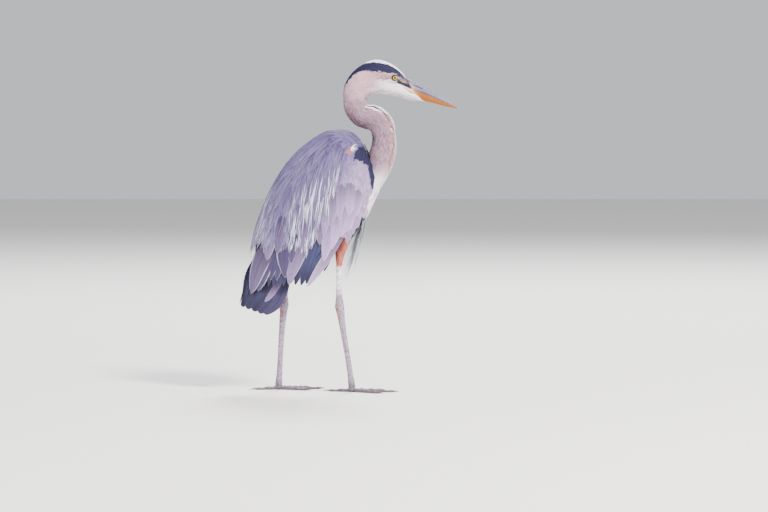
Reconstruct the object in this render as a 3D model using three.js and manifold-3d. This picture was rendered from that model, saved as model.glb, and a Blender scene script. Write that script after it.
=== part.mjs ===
// A great blue heron standing with its neck drawn up in an S, as a still, life-size model.
// Units are millimetres. +Z is up, the bird faces +X and its left side is +Y. The soles are at z = 0.
// Flat outlines are written as [x, z] in the bird's side plane; the last step centres the model on its box.
import * as THREE from "three";
import { mergeVertices } from "three/addons/utils/BufferGeometryUtils.js";
import Module from "manifold-3d";

const wasm = await Module();
wasm.setup();
const { Manifold, Mesh: SolidMesh } = wasm;

// ---- Driving dimensions ----
const GAP = 0.35; // clearance between pieces that touch
const CLOAK_CLEARANCE = 0.8; // between the wings and what they cover
const EYE_RADIUS = 9;
const EYE_CENTRE = [105, 11.9, 704]; // x, distance from the midline, z
const TOE_RADIUS = 4.3;
const TOE_LENGTHS = { hind: 50, inner: 72, middle: 92, outer: 80 };
const TOE_SPREAD = { hind: 170, inner: 36, middle: 0, outer: -34 }; // degrees towards the midline
const CLAW_LENGTHS = { hind: 19, inner: 15, middle: 16, outer: 13 };
const HUB_RADIUS = 8.5; // where the toes meet
const WING_TOP = 24; // degrees round the back from the midline where a wing begins
const WING_TIP_TOP = 27; // the same at the wing tips, which leave the tail bare between them
const WING_EDGE = 110; // and where its lower edge is
const WING_NOTCH = 0.07; // share of its length that a wing's tip is cut in between its long and short feathers
const BACK_END = 5 / 6; // share of the wing's length that the feathers of the back reach
const TAIL_EDGE = 80;
const FLIGHT_TOP = 98; // the dark flight feathers show below the wing's edge
const FLIGHT_EDGE = 119;
const FLIGHT_START = 0.64;
const FLIGHT_END = 0.97;

const TOE_OUT = 7; // degrees that each foot turns outwards

// The two legs as runs of [x, distance from the midline, z], from the knee inside the flank to the ankle,
// and from the ankle to the foot.
const LEGS = {
  right: {
    side: -1,
    shin: [
      [14, 36, 392],
      [-4, 36, 352],
      [-16, 36, 318],
      [-19.5, 36, 282],
      [-20, 36, 236],
      [-18.5, 36, 190],
    ],
    tarsus: [
      [-18.5, 36, 190],
      [-9.5, 37, 131],
      [0.5, 38, 71],
      [9, 39, 12],
    ],
  },
  left: {
    side: 1,
    shin: [
      [-94, 36, 388],
      [-112, 36, 346],
      [-126, 36, 304],
      [-136, 36, 266],
      [-142, 36, 229],
      [-144.5, 36, 192],
    ],
    tarsus: [
      [-144.5, 36, 192],
      [-150, 37, 132],
      [-153.5, 38, 72],
      [-157, 39, 12],
    ],
  },
};

// ---- Outlines: a section is the line from a back point to a front or belly point, and a half-width ----
// [back x, back z, front x, front z, half-width]
const HEAD_SECTIONS = [
  [130, 704, 160, 654, 9.5], // feather edge round the bill
  [119, 718, 136, 657, 14],
  [104, 731, 116, 663, 18.5], // eyes
  [81, 742, 92, 668, 20.5],
  [56, 744, 71, 673, 21],
  [29, 732, 55, 672, 20],
  [7, 713, 46, 667, 19],
];
const NECK_SECTIONS = [
  [7, 713, 46, 667, 19],
  [-8, 686, 42, 659, 18],
  [-11, 657, 40, 652, 18],
  [-6, 626, 42, 647, 18],
  [14, 600, 47, 644, 18],
  [36, 590, 60, 644, 18.5],
  [49, 586, 84, 633, 19],
  [54, 574, 102, 608, 20],
  [54, 560, 108, 578, 21],
  [50, 544, 109, 544, 24],
];
const BREAST_SECTIONS = [
  [50, 544, 109, 544, 24],
  [40, 520, 103, 514, 31],
  [27, 486, 89, 483, 38],
  [16, 452, 71, 452, 42],
  [6, 418, 55, 417, 40],
  [0, 390, 40, 387, 33],
  [-8, 367, 26, 365, 22],
];
const TRUNK_SECTIONS = [
  [34, 540, 56, 500, 34],
  [6, 566, 66, 462, 52],
  [-24, 572, 58, 428, 62],
  [-62, 560, 42, 394, 66],
  [-94, 532, 18, 360, 65],
  [-126, 497, -8, 328, 60],
  [-152, 458, -42, 301, 52],
  [-172, 415, -81, 282, 42],
  [-184, 366, -112, 268, 32],
  [-188, 330, -135, 262, 23],
  [-184, 308, -148, 262, 15],
];
// [ridge x, ridge z, mouth x, mouth z, half-width], from the feather edge to the tip
const UPPER_BILL_SECTIONS = [
  [130.4, 704.1, 145.6, 678.8, 10.5],
  [153, 693, 162, 672.3, 9],
  [180, 678.3, 187, 662.3, 7],
  [207, 663, 212, 652.4, 4.8],
  [230, 649.6, 232.5, 643.8, 2.8],
  [244, 640.4, 245, 638.3, 1.1],
];
const LOWER_BILL_SECTIONS = [
  [160.2, 654.6, 146.5, 677.6, 9.6],
  [172, 651.6, 163, 671.5, 8.3],
  [192.5, 647.1, 187, 661.6, 6.3],
  [214, 641.4, 212, 651.7, 4.3],
  [232.5, 637.7, 232.5, 643.2, 2.4],
  [243.5, 635.9, 243.5, 637.6, 1],
];

// ---- The folded wings and the back are one cloak, drawn from a back line and a lower edge ----
// [x, z] from the front of the shoulder to the wing tips
const CLOAK_BACK = [
  [40, 551],
  [9, 585],
  [-45, 587],
  [-101, 551],
  [-144, 504],
  [-180, 443],
  [-205, 380],
  [-221, 310],
  [-229, 219],
];
const CLOAK_EDGE = [
  [45, 538],
  [55, 508],
  [54, 468],
  [43, 414],
  [18, 371],
  [-16, 342],
  [-50, 297],
  [-74, 263],
  [-92, 236],
];
const CLOAK_HALF_WIDTH = [30, 58, 76, 82, 81, 75, 65, 56, 50];
const CLOAK_THICKNESS = [7, 13, 15, 13, 11, 8, 6, 4, 2.4];
const TAIL_BACK = [
  [-190, 335],
  [-208, 300],
  [-225, 266],
  [-237, 230],
  [-249, 195],
];
const TAIL_SIDE = [
  [-140, 290],
  [-141, 262],
  [-144, 230],
  [-158, 197],
  [-186, 174],
];
const TAIL_HALF_WIDTH = [14, 20, 26, 28, 31];
const TAIL_THICKNESS = [6, 6, 5, 4, 2.4];

// ---- Small tools ----
const lerp = THREE.MathUtils.lerp;
const rad = THREE.MathUtils.degToRad;
const range = (n) => Array.from({ length: n }, (_, i) => i);

// A smooth run through a list of equal-length rows, with its parameter from 0 to 1.
function along(rows) {
  return (t) => {
    const at = THREE.MathUtils.clamp(t, 0, 1) * (rows.length - 1);
    const i = Math.min(Math.floor(at), rows.length - 2);
    const f = at - i;
    const [p, a, b, q] = [rows[Math.max(i - 1, 0)], rows[i], rows[i + 1], rows[Math.min(i + 2, rows.length - 1)]];
    return a.map((_, k) => {
      const [m0, m1] = [(b[k] - p[k]) / 2, (q[k] - a[k]) / 2];
      const [f2, f3] = [f * f, f * f * f];
      return (2 * f3 - 3 * f2 + 1) * a[k] + (f3 - 2 * f2 + f) * m0 + (3 * f2 - 2 * f3) * b[k] + (f3 - f2) * m1;
    });
  };
}
const alongNumbers = (list) => {
  const run = along(list.map((value) => [value]));
  return (t) => run(t)[0];
};

function geometryOf(points, triangles) {
  const g = new THREE.BufferGeometry().setFromPoints(points);
  g.setIndex(triangles);
  return g;
}

function solidOf(geometry) {
  const bare = geometry.clone();
  bare.deleteAttribute("normal");
  bare.deleteAttribute("uv");
  const merged = mergeVertices(bare, 1e-4);
  return new Manifold(
    new SolidMesh({
      numProp: 3,
      vertProperties: new Float32Array(merged.attributes.position.array),
      triVerts: new Uint32Array(merged.index.array),
    }),
  );
}

function geometryFrom(solid) {
  const mesh = solid.getMesh();
  const g = new THREE.BufferGeometry();
  const xyz = new Float32Array(mesh.numVert * 3);
  for (let i = 0; i < mesh.numVert; i++) {
    xyz.set(mesh.vertProperties.subarray(i * mesh.numProp, i * mesh.numProp + 3), i * 3);
  }
  g.setAttribute("position", new THREE.BufferAttribute(xyz, 3));
  g.setIndex(new THREE.BufferAttribute(mesh.triVerts, 1));
  return g.toNonIndexed();
}

// A tube through closed rings of points, capped flat at both ends.
function tube(rings) {
  const n = rings[0].length;
  const points = rings.flat();
  const triangles = [];
  range(rings.length - 1).forEach((i) =>
    range(n).forEach((j) => {
      const [a, b] = [i * n + j, i * n + ((j + 1) % n)];
      triangles.push(a, b, a + n, b, b + n, a + n);
    }),
  );
  [0, rings.length - 1].forEach((i) => {
    const centre = points.length;
    points.push(rings[i].reduce((sum, p) => sum.add(p), new THREE.Vector3()).divideScalar(n));
    range(n).forEach((j) => {
      const [a, b] = [i * n + j, i * n + ((j + 1) % n)];
      triangles.push(...(i === 0 ? [centre, b, a] : [centre, a, b]));
    });
  });
  return outward(solidOf(geometryOf(points, triangles)), points, triangles);
}

// A slab between two grids of points, front(s, t) and rear(s, t), closed along its four edges.
function slab(front, rear, rows, columns) {
  const points = [front, rear].flatMap((face) =>
    range(rows + 1).flatMap((i) => range(columns + 1).map((j) => face(i / rows, j / columns))),
  );
  const at = (side, i, j) => side * (rows + 1) * (columns + 1) + i * (columns + 1) + j;
  const triangles = [];
  const quad = (a, b, c, d) => triangles.push(a, b, c, a, c, d);
  range(rows).forEach((i) =>
    range(columns).forEach((j) => {
      quad(at(0, i, j), at(0, i, j + 1), at(0, i + 1, j + 1), at(0, i + 1, j));
      quad(at(1, i, j), at(1, i + 1, j), at(1, i + 1, j + 1), at(1, i, j + 1));
    }),
  );
  range(rows).forEach((i) => {
    quad(at(0, i, 0), at(0, i + 1, 0), at(1, i + 1, 0), at(1, i, 0));
    quad(at(0, i, columns), at(1, i, columns), at(1, i + 1, columns), at(0, i + 1, columns));
  });
  range(columns).forEach((j) => {
    quad(at(0, 0, j + 1), at(0, 0, j), at(1, 0, j), at(1, 0, j + 1));
    quad(at(0, rows, j), at(0, rows, j + 1), at(1, rows, j + 1), at(1, rows, j));
  });
  return outward(solidOf(geometryOf(points, triangles)), points, triangles);
}

// What is left of a trimmed solid once the slivers are dropped.
function largestPiece(solid) {
  return solid.decompose().sort((p, q) => q.volume() - p.volume())[0];
}

// Turns a solid's faces round if they point inwards.
function outward(solid, points, triangles) {
  if (solid.volume() > 0) return solid;
  const turned = [];
  for (let i = 0; i < triangles.length; i += 3) turned.push(triangles[i], triangles[i + 2], triangles[i + 1]);
  return solidOf(geometryOf(points, turned));
}

// ---- The body: elliptical sections along the outlines ----
function sectionRing([backX, backZ, frontX, frontZ, halfWidth], sides, grow = 0) {
  const middle = new THREE.Vector3((backX + frontX) / 2, 0, (backZ + frontZ) / 2);
  const up = new THREE.Vector3(backX - frontX, 0, backZ - frontZ);
  const depth = up.length() / 2 + grow;
  up.normalize();
  return range(sides).map((k) => {
    const angle = (2 * Math.PI * k) / sides;
    return middle
      .clone()
      .addScaledVector(up, depth * Math.cos(angle))
      .add(new THREE.Vector3(0, (halfWidth + grow) * Math.sin(angle), 0));
  });
}

// A length of body from parameter start to end, which leaves half a gap at each end it shares.
function bodyLength(sections, { start = 0, end = 1, rings = 8, sides = 16, grow = 0 } = {}) {
  const run = along(sections);
  return tube(range(rings + 1).map((i) => sectionRing(run(lerp(start, end, i / rings)), sides, grow)));
}

// Half of a beak: a rounded ridge over a flat mouth line. side is 1 above the mouth and -1 below.
function billRing([ridgeX, ridgeZ, mouthX, mouthZ, halfWidth], steps) {
  const mouth = new THREE.Vector3(mouthX, 0, mouthZ);
  const ridge = new THREE.Vector3(ridgeX - mouthX, 0, ridgeZ - mouthZ);
  return range(steps + 1).map((k) => {
    const angle = lerp(-Math.PI / 2, Math.PI / 2, k / steps);
    return mouth
      .clone()
      .addScaledVector(ridge, Math.cos(angle) ** 0.9)
      .add(new THREE.Vector3(0, halfWidth * Math.sin(angle), 0));
  });
}

function bill(sections, tip) {
  const run = along([...sections, tip]);
  return tube(range(12).map((i) => billRing(run(i / 11), 8)));
}

// ---- The cloak: wings, back and tail are curved slabs that hang from the midline ----
function cloakOf(back, edge, halfWidths, thicknesses, edgeAngle) {
  const [backRun, edgeRun] = [along(back), along(edge)];
  const [widthRun, thicknessRun] = [alongNumbers(halfWidths), alongNumbers(thicknesses)];
  const reach = 1 - Math.cos(rad(edgeAngle));
  // The point at v along the wing and angle degrees round from the midline, moved in by inset thicknesses.
  return (v, angle, inset = 0, extra = 0) => {
    const [bx, bz] = backRun(v);
    const [ex, ez] = edgeRun(v);
    const turn = rad(angle);
    const share = (1 - Math.cos(turn)) / reach;
    const down = new THREE.Vector3(ex - bx, 0, ez - bz);
    const radius = down.length() / reach;
    const width = widthRun(v);
    const point = new THREE.Vector3(bx, width * Math.sin(turn), bz).addScaledVector(down, share);
    down.normalize();
    const normal = down.multiplyScalar(-Math.cos(turn) * width);
    normal.y = Math.sin(turn) * radius;
    const thinning = 1 - 0.55 * THREE.MathUtils.smoothstep(Math.abs(angle), 55, edgeAngle);
    return point.addScaledVector(normal.normalize(), -inset * thicknessRun(v) * thinning - extra);
  };
}

const cloak = cloakOf(CLOAK_BACK, CLOAK_EDGE, CLOAK_HALF_WIDTH, CLOAK_THICKNESS, WING_EDGE);
const tailCloak = cloakOf(TAIL_BACK, TAIL_SIDE, TAIL_HALF_WIDTH, TAIL_THICKNESS, TAIL_EDGE);

// from and to are angles, or functions that give an angle at v. notch is how far the end is cut in at its middle.
function cloakSlab(surface, options) {
  const { from, to, start = 0, end = 1, notch = 0, rows, columns, outer = 0, inner = 1, grow = 0 } = options;
  const angleAt = (edge, v) => (typeof edge === "function" ? edge(v) : edge);
  const face = (inset, extra) => (s, t) => {
    const v = lerp(start, end - notch * Math.sin(Math.PI * t) ** 2, s);
    return surface(v, lerp(angleAt(from, v), angleAt(to, v), t), inset, extra);
  };
  return slab(face(outer, -grow), face(inner, grow), rows, columns);
}

const flightEdgeAt = (v) => {
  const share = THREE.MathUtils.clamp((v - FLIGHT_START) / (FLIGHT_END - FLIGHT_START), 0, 1);
  return lerp(WING_EDGE - 3, FLIGHT_EDGE, Math.sin(Math.PI * share) ** 0.7);
};
const halfWidthAt = alongNumbers(CLOAK_HALF_WIDTH);
const seamAt = (v) => (GAP / halfWidthAt(v)) * (180 / Math.PI);
const wingTopAt = (v) => lerp(WING_TOP, WING_TIP_TOP, THREE.MathUtils.smoothstep(v, BACK_END - 0.04, 1));

// ---- Legs and feet ----
function limbRing(centre, radiusX, radiusY, sides = 10) {
  return range(sides).map((k) => {
    const angle = (2 * Math.PI * k) / sides;
    return new THREE.Vector3(
      centre.x + radiusX * Math.cos(angle),
      centre.y + radiusY * Math.sin(angle),
      centre.z,
    );
  });
}

// rows: [share of the way along the path, fore-and-aft radius, sideways radius]
function limb(path, rows, grow = 0) {
  return tube(rows.map(([share, rx, ry]) => limbRing(new THREE.Vector3(...path(share)), rx + grow, ry + grow)));
}

const legPath = (points, side) => along(points.map(([x, offset, z]) => [x, side * offset, z]));

function legPieces(name, { side, shin, tarsus }) {
  const [shinPath, tarsusPath] = [legPath(shin, side), legPath(tarsus, side)];
  const hub = new THREE.Vector3(...tarsusPath(1));
  const bare = 0.57; // share of the shin where the feathers stop
  const thighRows = [
    [0, 27, 20],
    [0.12, 22, 17],
    [0.24, 15, 14],
    [0.38, 13.2, 12.4],
    [0.46, 10.6, 10],
    [bare, 6.5, 6.2],
  ];
  const shankRows = [
    [bare + 0.003, 6.2, 5.6],
    [0.75, 6.2, 5.5],
    [0.88, 7.2, 6.3],
    [0.94, 9.4, 7.6],
    [1, 10.8, 8.4],
  ];
  const tarsusRows = [
    [0.003, 10.7, 8.3],
    [0.06, 10, 7.8],
    [0.14, 8.2, 6.6],
    [0.3, 6.8, 5.3],
    [0.6, 6.1, 4.9],
    [0.82, 6.4, 5.2],
    [0.93, 7.6, 7],
    [1, 8.4, 8.4],
  ];
  const pieces = {
    [`thigh_${name}`]: limb(shinPath, thighRows),
    [`shank_${name}`]: limb(shinPath, shankRows),
    [`tarsus_${name}`]: limb(tarsusPath, tarsusRows).add(hubOf(hub)),
  };
  const cleared = hubOf(hub, GAP).add(limb(tarsusPath, tarsusRows.slice(-3), GAP));
  const toeOf = (toe, grow) => {
    const heading = rad(side * (TOE_OUT - TOE_SPREAD[toe]));
    return toeAndClaw(hub, heading, TOE_LENGTHS[toe], CLAW_LENGTHS[toe], grow);
  };
  const clearedOfMiddle = cleared.add(toeOf("middle", GAP).digit);
  Object.keys(TOE_LENGTHS).forEach((toe) => {
    const { digit, claw } = toeOf(toe, 0);
    const trimmed = digit.subtract(toe === "inner" || toe === "outer" ? clearedOfMiddle : cleared);
    pieces[`toe_${name}_${toe}`] = largestPiece(trimmed);
    pieces[`claw_${name}_${toe}`] = claw;
  });
  return pieces;
}

// The joint pad that carries the toes: a ball with a flat sole at z = 0.
function hubOf(centre, grow = 0) {
  const ball = new THREE.SphereGeometry(HUB_RADIUS + grow, 12, 8);
  ball.rotateX(Math.PI / 2);
  ball.translate(centre.x, centre.y, HUB_RADIUS - 2);
  return solidOf(flatSoled(ball, 0));
}

function flatSoled(geometry, floor) {
  const p = geometry.attributes.position;
  for (let i = 0; i < p.count; i++) p.setZ(i, Math.max(p.getZ(i), floor));
  return geometry;
}

function sweepRing(centre, heading, radius, height, sides, floor = 0) {
  const across = new THREE.Vector3(-Math.sin(heading), Math.cos(heading), 0);
  return range(sides).map((k) => {
    const angle = (2 * Math.PI * (k + 0.5)) / sides;
    const point = centre.clone().addScaledVector(across, radius * Math.cos(angle));
    point.z = Math.max(centre.z + height * Math.sin(angle), floor);
    return point;
  });
}

// A toe lies along the floor on a flat sole, swollen at its joints, and ends in a curved claw.
function toeAndClaw(hub, heading, length, clawLength, grow) {
  const forward = new THREE.Vector3(Math.cos(heading), Math.sin(heading), 0);
  const at = (distance, height) => {
    const point = hub.clone().addScaledVector(forward, distance);
    point.z = height;
    return point;
  };
  const steps = 9;
  const digit = tube(
    range(steps + 1).map((i) => {
      const share = i / steps;
      const swell = 1 + 0.1 * Math.cos(2 * Math.PI * 3 * share);
      const radius = TOE_RADIUS * lerp(1, 0.66, share) * swell + grow;
      const height = radius * 0.8 + 1.5 * (1 - share) ** 3;
      return sweepRing(at(lerp(2, length, share), height), heading, radius, radius, 8, -grow);
    }),
  );
  const claw = tube(
    range(4).map((i) => {
      const share = i / 3;
      const radius = lerp(2.1, 0.35, share ** 1.3);
      const height = 2.6 + 1.2 * Math.sin(Math.PI * share * 0.9) - 2 * share;
      return sweepRing(at(length + GAP + clawLength * share, height), heading, radius * 0.8, radius, 6);
    }),
  );
  return { digit, claw };
}

// ---- Breast plumes: narrow blades that hang from the lower breast ----
const PLUMES = [
  // [root x, root z, bend x, bend z, tip x, tip z, distance from the midline]
  [38, 397, 32, 336, 14, 264, 6],
  [34, 392, 20, 322, -7, 250, -8],
  [36, 395, 30, 345, 24, 300, -1],
];
function plumeBlade([rootX, rootZ, bendX, bendZ, tipX, tipZ, offset]) {
  const run = along([
    [rootX, rootZ],
    [bendX, bendZ],
    [tipX, tipZ],
  ]);
  return tube(
    range(9).map((i) => {
      const [x, z] = run(i / 8);
      const wide = lerp(6, 0.5, (i / 8) ** 1.4);
      const deep = lerp(7, 0.6, Math.sqrt(i / 8));
      return limbRing(new THREE.Vector3(x, offset * lerp(0.5, 1, i / 8), z), wide * 0.7, deep, 6);
    }),
  );
}

// ---- Making the pieces ----
function headPieces() {
  const pieces = {};
  let head = bodyLength(HEAD_SECTIONS, { rings: 9, sides: 16 });
  [
    ["right", -1],
    ["left", 1],
  ].forEach(([name, side]) => {
    const ballOf = (grow) => {
      const ball = new THREE.SphereGeometry(EYE_RADIUS + grow, 14, 10);
      ball.rotateX(Math.PI / 2);
      ball.translate(EYE_CENTRE[0], side * EYE_CENTRE[1], EYE_CENTRE[2]);
      return solidOf(ball);
    };
    // Each eyeball stops short of the midline, so the two don't meet.
    pieces[`eye_${name}`] = ballOf(0);
    head = head.subtract(ballOf(GAP));
  });
  pieces.head = head;
  pieces.bill_upper = bill(UPPER_BILL_SECTIONS, [249.5, 637.4, 249.5, 636.8, 0.3]);
  pieces.bill_lower = bill(LOWER_BILL_SECTIONS, [248, 634.9, 248, 635.5, 0.3]);
  return pieces;
}

function neckPieces() {
  const cuts = [0, 0.36, 0.7, 1];
  const slit = 0.0035; // half a gap, as a share of the neck
  return Object.fromEntries(
    ["upper", "middle", "lower"].map((part, i) => [
      `neck_${part}`,
      bodyLength(NECK_SECTIONS, { start: cuts[i] + slit, end: cuts[i + 1] - slit, rings: 8 }),
    ]),
  );
}

function cloakPieces() {
  const pieces = {};
  [
    ["right", -1],
    ["left", 1],
  ].forEach(([name, side]) => {
    pieces[`wing_${name}`] = cloakSlab(cloak, {
      from: (v) => side * (wingTopAt(v) + seamAt(v)),
      to: side * WING_EDGE,
      notch: WING_NOTCH,
      rows: 18,
      columns: 8,
    });
    pieces[`flight_feathers_${name}`] = cloakSlab(cloak, {
      from: side * FLIGHT_TOP,
      to: (v) => side * flightEdgeAt(v),
      start: FLIGHT_START,
      end: FLIGHT_END,
      rows: 8,
      columns: 3,
      outer: 1.5,
      inner: 2.4,
    });
  });
  pieces.back = cloakSlab(cloak, { from: -WING_TOP, to: WING_TOP, end: BACK_END, rows: 15, columns: 5 });
  pieces.tail = cloakSlab(tailCloak, { from: -TAIL_EDGE, to: TAIL_EDGE, rows: 7, columns: 10 });
  return pieces;
}

// What the wings, back and flight feathers take out of the pieces under them.
function cloakCutter() {
  const reach = { rows: 18, columns: 20, outer: -1.2, inner: 1, grow: CLOAK_CLEARANCE };
  let cutter = cloakSlab(cloak, { from: -WING_EDGE - 4, to: WING_EDGE + 4, ...reach });
  cutter = cutter.add(
    cloakSlab(tailCloak, { from: -TAIL_EDGE - 6, to: TAIL_EDGE + 6, rows: 7, columns: 14, outer: -2, grow: GAP }),
  );
  [-1, 1].forEach((side) => {
    cutter = cutter.add(
      cloakSlab(cloak, {
        from: side * (FLIGHT_TOP - 3),
        to: (v) => side * (flightEdgeAt(v) + 3),
        start: FLIGHT_START - 0.03,
        end: 1,
        rows: 8,
        columns: 4,
        outer: 0.5,
        inner: 2.2,
        grow: CLOAK_CLEARANCE,
      }),
    );
  });
  return cutter;
}

function trunkPieces(legs) {
  const cutter = cloakCutter();
  const plumes = PLUMES.map(plumeBlade).reduce((sum, blade) => sum.add(blade));
  const neckEnd = bodyLength(NECK_SECTIONS, { start: 0.6, end: 1, rings: 8, grow: GAP });
  const breast = bodyLength(BREAST_SECTIONS, { start: 0.004, rings: 8, sides: 16 });
  const trunk = bodyLength(TRUNK_SECTIONS, { rings: 12, sides: 16 });
  const pieces = { trunk: largestPiece(trunk.add(breast).subtract(cutter).subtract(neckEnd)) };
  const flesh = bodyLength(TRUNK_SECTIONS, { rings: 12, sides: 16, grow: GAP })
    .add(bodyLength(BREAST_SECTIONS, { start: 0.004, rings: 8, sides: 16, grow: GAP }))
    .add(cutter);
  Object.keys(legs)
    .filter((name) => name.startsWith("thigh_"))
    .forEach((name) => {
      pieces[name] = largestPiece(legs[name].subtract(flesh));
    });
  pieces.breast_plumes = largestPiece(plumes.subtract(flesh));
  return pieces;
}

// ---- Finishes ----
const FINISHES = {
  grey_feather: new THREE.MeshStandardMaterial({ color: 0x9694b0, roughness: 0.85, metalness: 0 }),
  neck_feather: new THREE.MeshStandardMaterial({ color: 0xc2abb4, roughness: 0.85, metalness: 0 }),
  white_feather: new THREE.MeshStandardMaterial({ color: 0xe8e2e4, roughness: 0.85, metalness: 0 }),
  slate_feather: new THREE.MeshStandardMaterial({ color: 0x4a4f70, roughness: 0.8, metalness: 0 }),
  rust_feather: new THREE.MeshStandardMaterial({ color: 0xb8705c, roughness: 0.85, metalness: 0 }),
  upper_bill: new THREE.MeshStandardMaterial({ color: 0x8f8ba0, roughness: 0.45, metalness: 0 }),
  lower_bill: new THREE.MeshStandardMaterial({ color: 0xd99a4a, roughness: 0.45, metalness: 0 }),
  eye: new THREE.MeshStandardMaterial({ color: 0xcaa638, roughness: 0.1, metalness: 0 }),
  leg_skin: new THREE.MeshStandardMaterial({ color: 0xa89fac, roughness: 0.7, metalness: 0 }),
  claw: new THREE.MeshStandardMaterial({ color: 0x3a3438, roughness: 0.5, metalness: 0 }),
};
const FINISH_OF = [
  [/^head$/, "white_feather"],
  [/^neck_/, "neck_feather"],
  [/^bill_upper$/, "upper_bill"],
  [/^bill_lower$/, "lower_bill"],
  [/^eye_/, "eye"],
  [/^(flight_feathers_|tail)/, "slate_feather"],
  [/^thigh_/, "rust_feather"],
  [/^(shank|tarsus|toe)_/, "leg_skin"],
  [/^claw_/, "claw"],
  [/./, "grey_feather"],
];

function heron() {
  const legs = Object.assign({}, ...Object.entries(LEGS).map(([name, leg]) => legPieces(name, leg)));
  const pieces = { ...headPieces(), ...neckPieces(), ...cloakPieces(), ...legs, ...trunkPieces(legs) };
  const bird = new THREE.Group();
  bird.name = "great_blue_heron";
  Object.entries(pieces).forEach(([name, solid]) => {
    const finish = FINISH_OF.find(([pattern]) => pattern.test(name))[1];
    const mesh = new THREE.Mesh(geometryFrom(solid), FINISHES[finish]);
    mesh.name = name;
    bird.add(mesh);
  });
  const box = new THREE.Box3().setFromObject(bird);
  bird.position.set(-(box.min.x + box.max.x) / 2, -(box.min.y + box.max.y) / 2, -box.min.z);
  return bird;
}

export default heron();
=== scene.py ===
"""Great blue heron, standing with its neck drawn up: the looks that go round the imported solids.

Shapes are worked out in millimetres in the bird's own frame: it faces +X, +Z is up and its left is +Y.
The skin is one closed surface, and every feather is a closed blade laid over it from root to tip.
"""

import bpy
import numpy as np
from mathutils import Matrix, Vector


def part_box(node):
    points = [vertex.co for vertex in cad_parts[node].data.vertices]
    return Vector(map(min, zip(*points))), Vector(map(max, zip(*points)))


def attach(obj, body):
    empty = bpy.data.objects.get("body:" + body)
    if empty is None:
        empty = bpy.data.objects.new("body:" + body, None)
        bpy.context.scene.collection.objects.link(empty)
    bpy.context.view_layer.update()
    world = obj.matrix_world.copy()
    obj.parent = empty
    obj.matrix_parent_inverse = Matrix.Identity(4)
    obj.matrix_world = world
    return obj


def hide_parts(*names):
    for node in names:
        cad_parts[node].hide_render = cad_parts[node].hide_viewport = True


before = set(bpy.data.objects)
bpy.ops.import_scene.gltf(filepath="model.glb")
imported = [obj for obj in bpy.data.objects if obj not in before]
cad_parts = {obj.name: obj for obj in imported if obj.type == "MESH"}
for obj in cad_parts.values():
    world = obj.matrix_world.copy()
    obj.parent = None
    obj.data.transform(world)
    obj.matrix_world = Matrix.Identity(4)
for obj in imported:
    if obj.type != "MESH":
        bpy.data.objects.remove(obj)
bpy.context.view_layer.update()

RNG = np.random.default_rng(31)
MM = 0.001

# ------------------------------------------------------------------ the bird's own lines, in millimetres
EYE = np.array([105.0, 11.9, 704.0])  # centre of the left eyeball
EYE_RADIUS = 9.0

# The body from the feather edge round the bill, back over the head, down the neck and to the lower breast:
# [back x, back z, front x, front z, half-width]. Places along it are told by the section's number.
BODY = np.array([
    [130, 704, 160, 654, 9.5], [119, 718, 136, 657, 14], [104, 731, 116, 663, 18.5],
    [81, 742, 92, 668, 20.5], [56, 744, 71, 673, 21], [29, 732, 55, 672, 20],
    [7, 713, 46, 667, 19], [-8, 686, 42, 659, 18], [-11, 657, 40, 652, 18],
    [-6, 626, 42, 647, 18], [14, 600, 47, 644, 18], [36, 590, 60, 644, 18.5],
    [49, 586, 84, 633, 19], [54, 574, 102, 608, 20], [54, 560, 108, 578, 21],
    [50, 544, 109, 544, 24], [40, 520, 103, 514, 31], [27, 486, 89, 483, 38],
    [16, 452, 71, 452, 42], [6, 418, 55, 417, 40], [0, 390, 40, 387, 33], [-8, 367, 26, 365, 22],
], float)
TRUNK = np.array([
    [34, 540, 56, 500, 34], [6, 566, 66, 462, 52], [-24, 572, 58, 428, 62], [-62, 560, 42, 394, 66],
    [-94, 532, 18, 360, 65], [-126, 497, -8, 328, 60], [-152, 458, -42, 301, 52], [-172, 415, -81, 282, 42],
    [-184, 366, -112, 268, 32], [-188, 330, -135, 262, 23], [-184, 308, -148, 262, 15],
], float)
CLOAK_BACK = np.array([
    [40, 551], [9, 585], [-45, 587], [-101, 551], [-144, 504], [-180, 443], [-205, 380], [-221, 310],
    [-229, 219],
], float)
CLOAK_EDGE = np.array([
    [45, 538], [55, 508], [54, 468], [43, 414], [18, 371], [-16, 342], [-50, 297], [-74, 263], [-92, 236],
], float)
CLOAK_HALF_WIDTH = np.array([30, 58, 76, 82, 81, 75, 65, 56, 50], float)
WING_EDGE = 110.0  # degrees round from the midline of the back to the wing's lower edge
TAIL_BACK = np.array([[-190, 335], [-208, 300], [-225, 266], [-237, 230], [-249, 195]], float)
TAIL_SIDE = np.array([[-140, 290], [-141, 262], [-144, 230], [-158, 197], [-186, 174]], float)
TAIL_HALF_WIDTH = np.array([14, 20, 26, 28, 31], float)
TAIL_EDGE = 80.0
SHINS = {
    "right": [[14, -36, 392], [-4, -36, 352], [-16, -36, 318], [-19.5, -36, 282], [-20, -36, 236],
              [-18.5, -36, 190]],
    "left": [[-94, 36, 388], [-112, 36, 346], [-126, 36, 304], [-136, 36, 266], [-142, 36, 229],
             [-144.5, 36, 192]],
}
TARSI = {
    "right": [[-18.5, -36, 190], [-9.5, -37, 131], [0.5, -38, 71], [9, -39, 12]],
    "left": [[-144.5, 36, 192], [-150, 37, 132], [-153.5, 38, 72], [-157, 39, 12]],
}
SIDES = {"right": -1.0, "left": 1.0}
TOE_OUT = 7.0
TOE_LENGTHS = {"hind": 50.0, "inner": 72.0, "middle": 92.0, "outer": 80.0}
TOE_SPREAD = {"hind": 170.0, "inner": 36.0, "middle": 0.0, "outer": -34.0}
CLAW_LENGTHS = {"hind": 19.0, "inner": 15.0, "middle": 16.0, "outer": 13.0}

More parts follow.
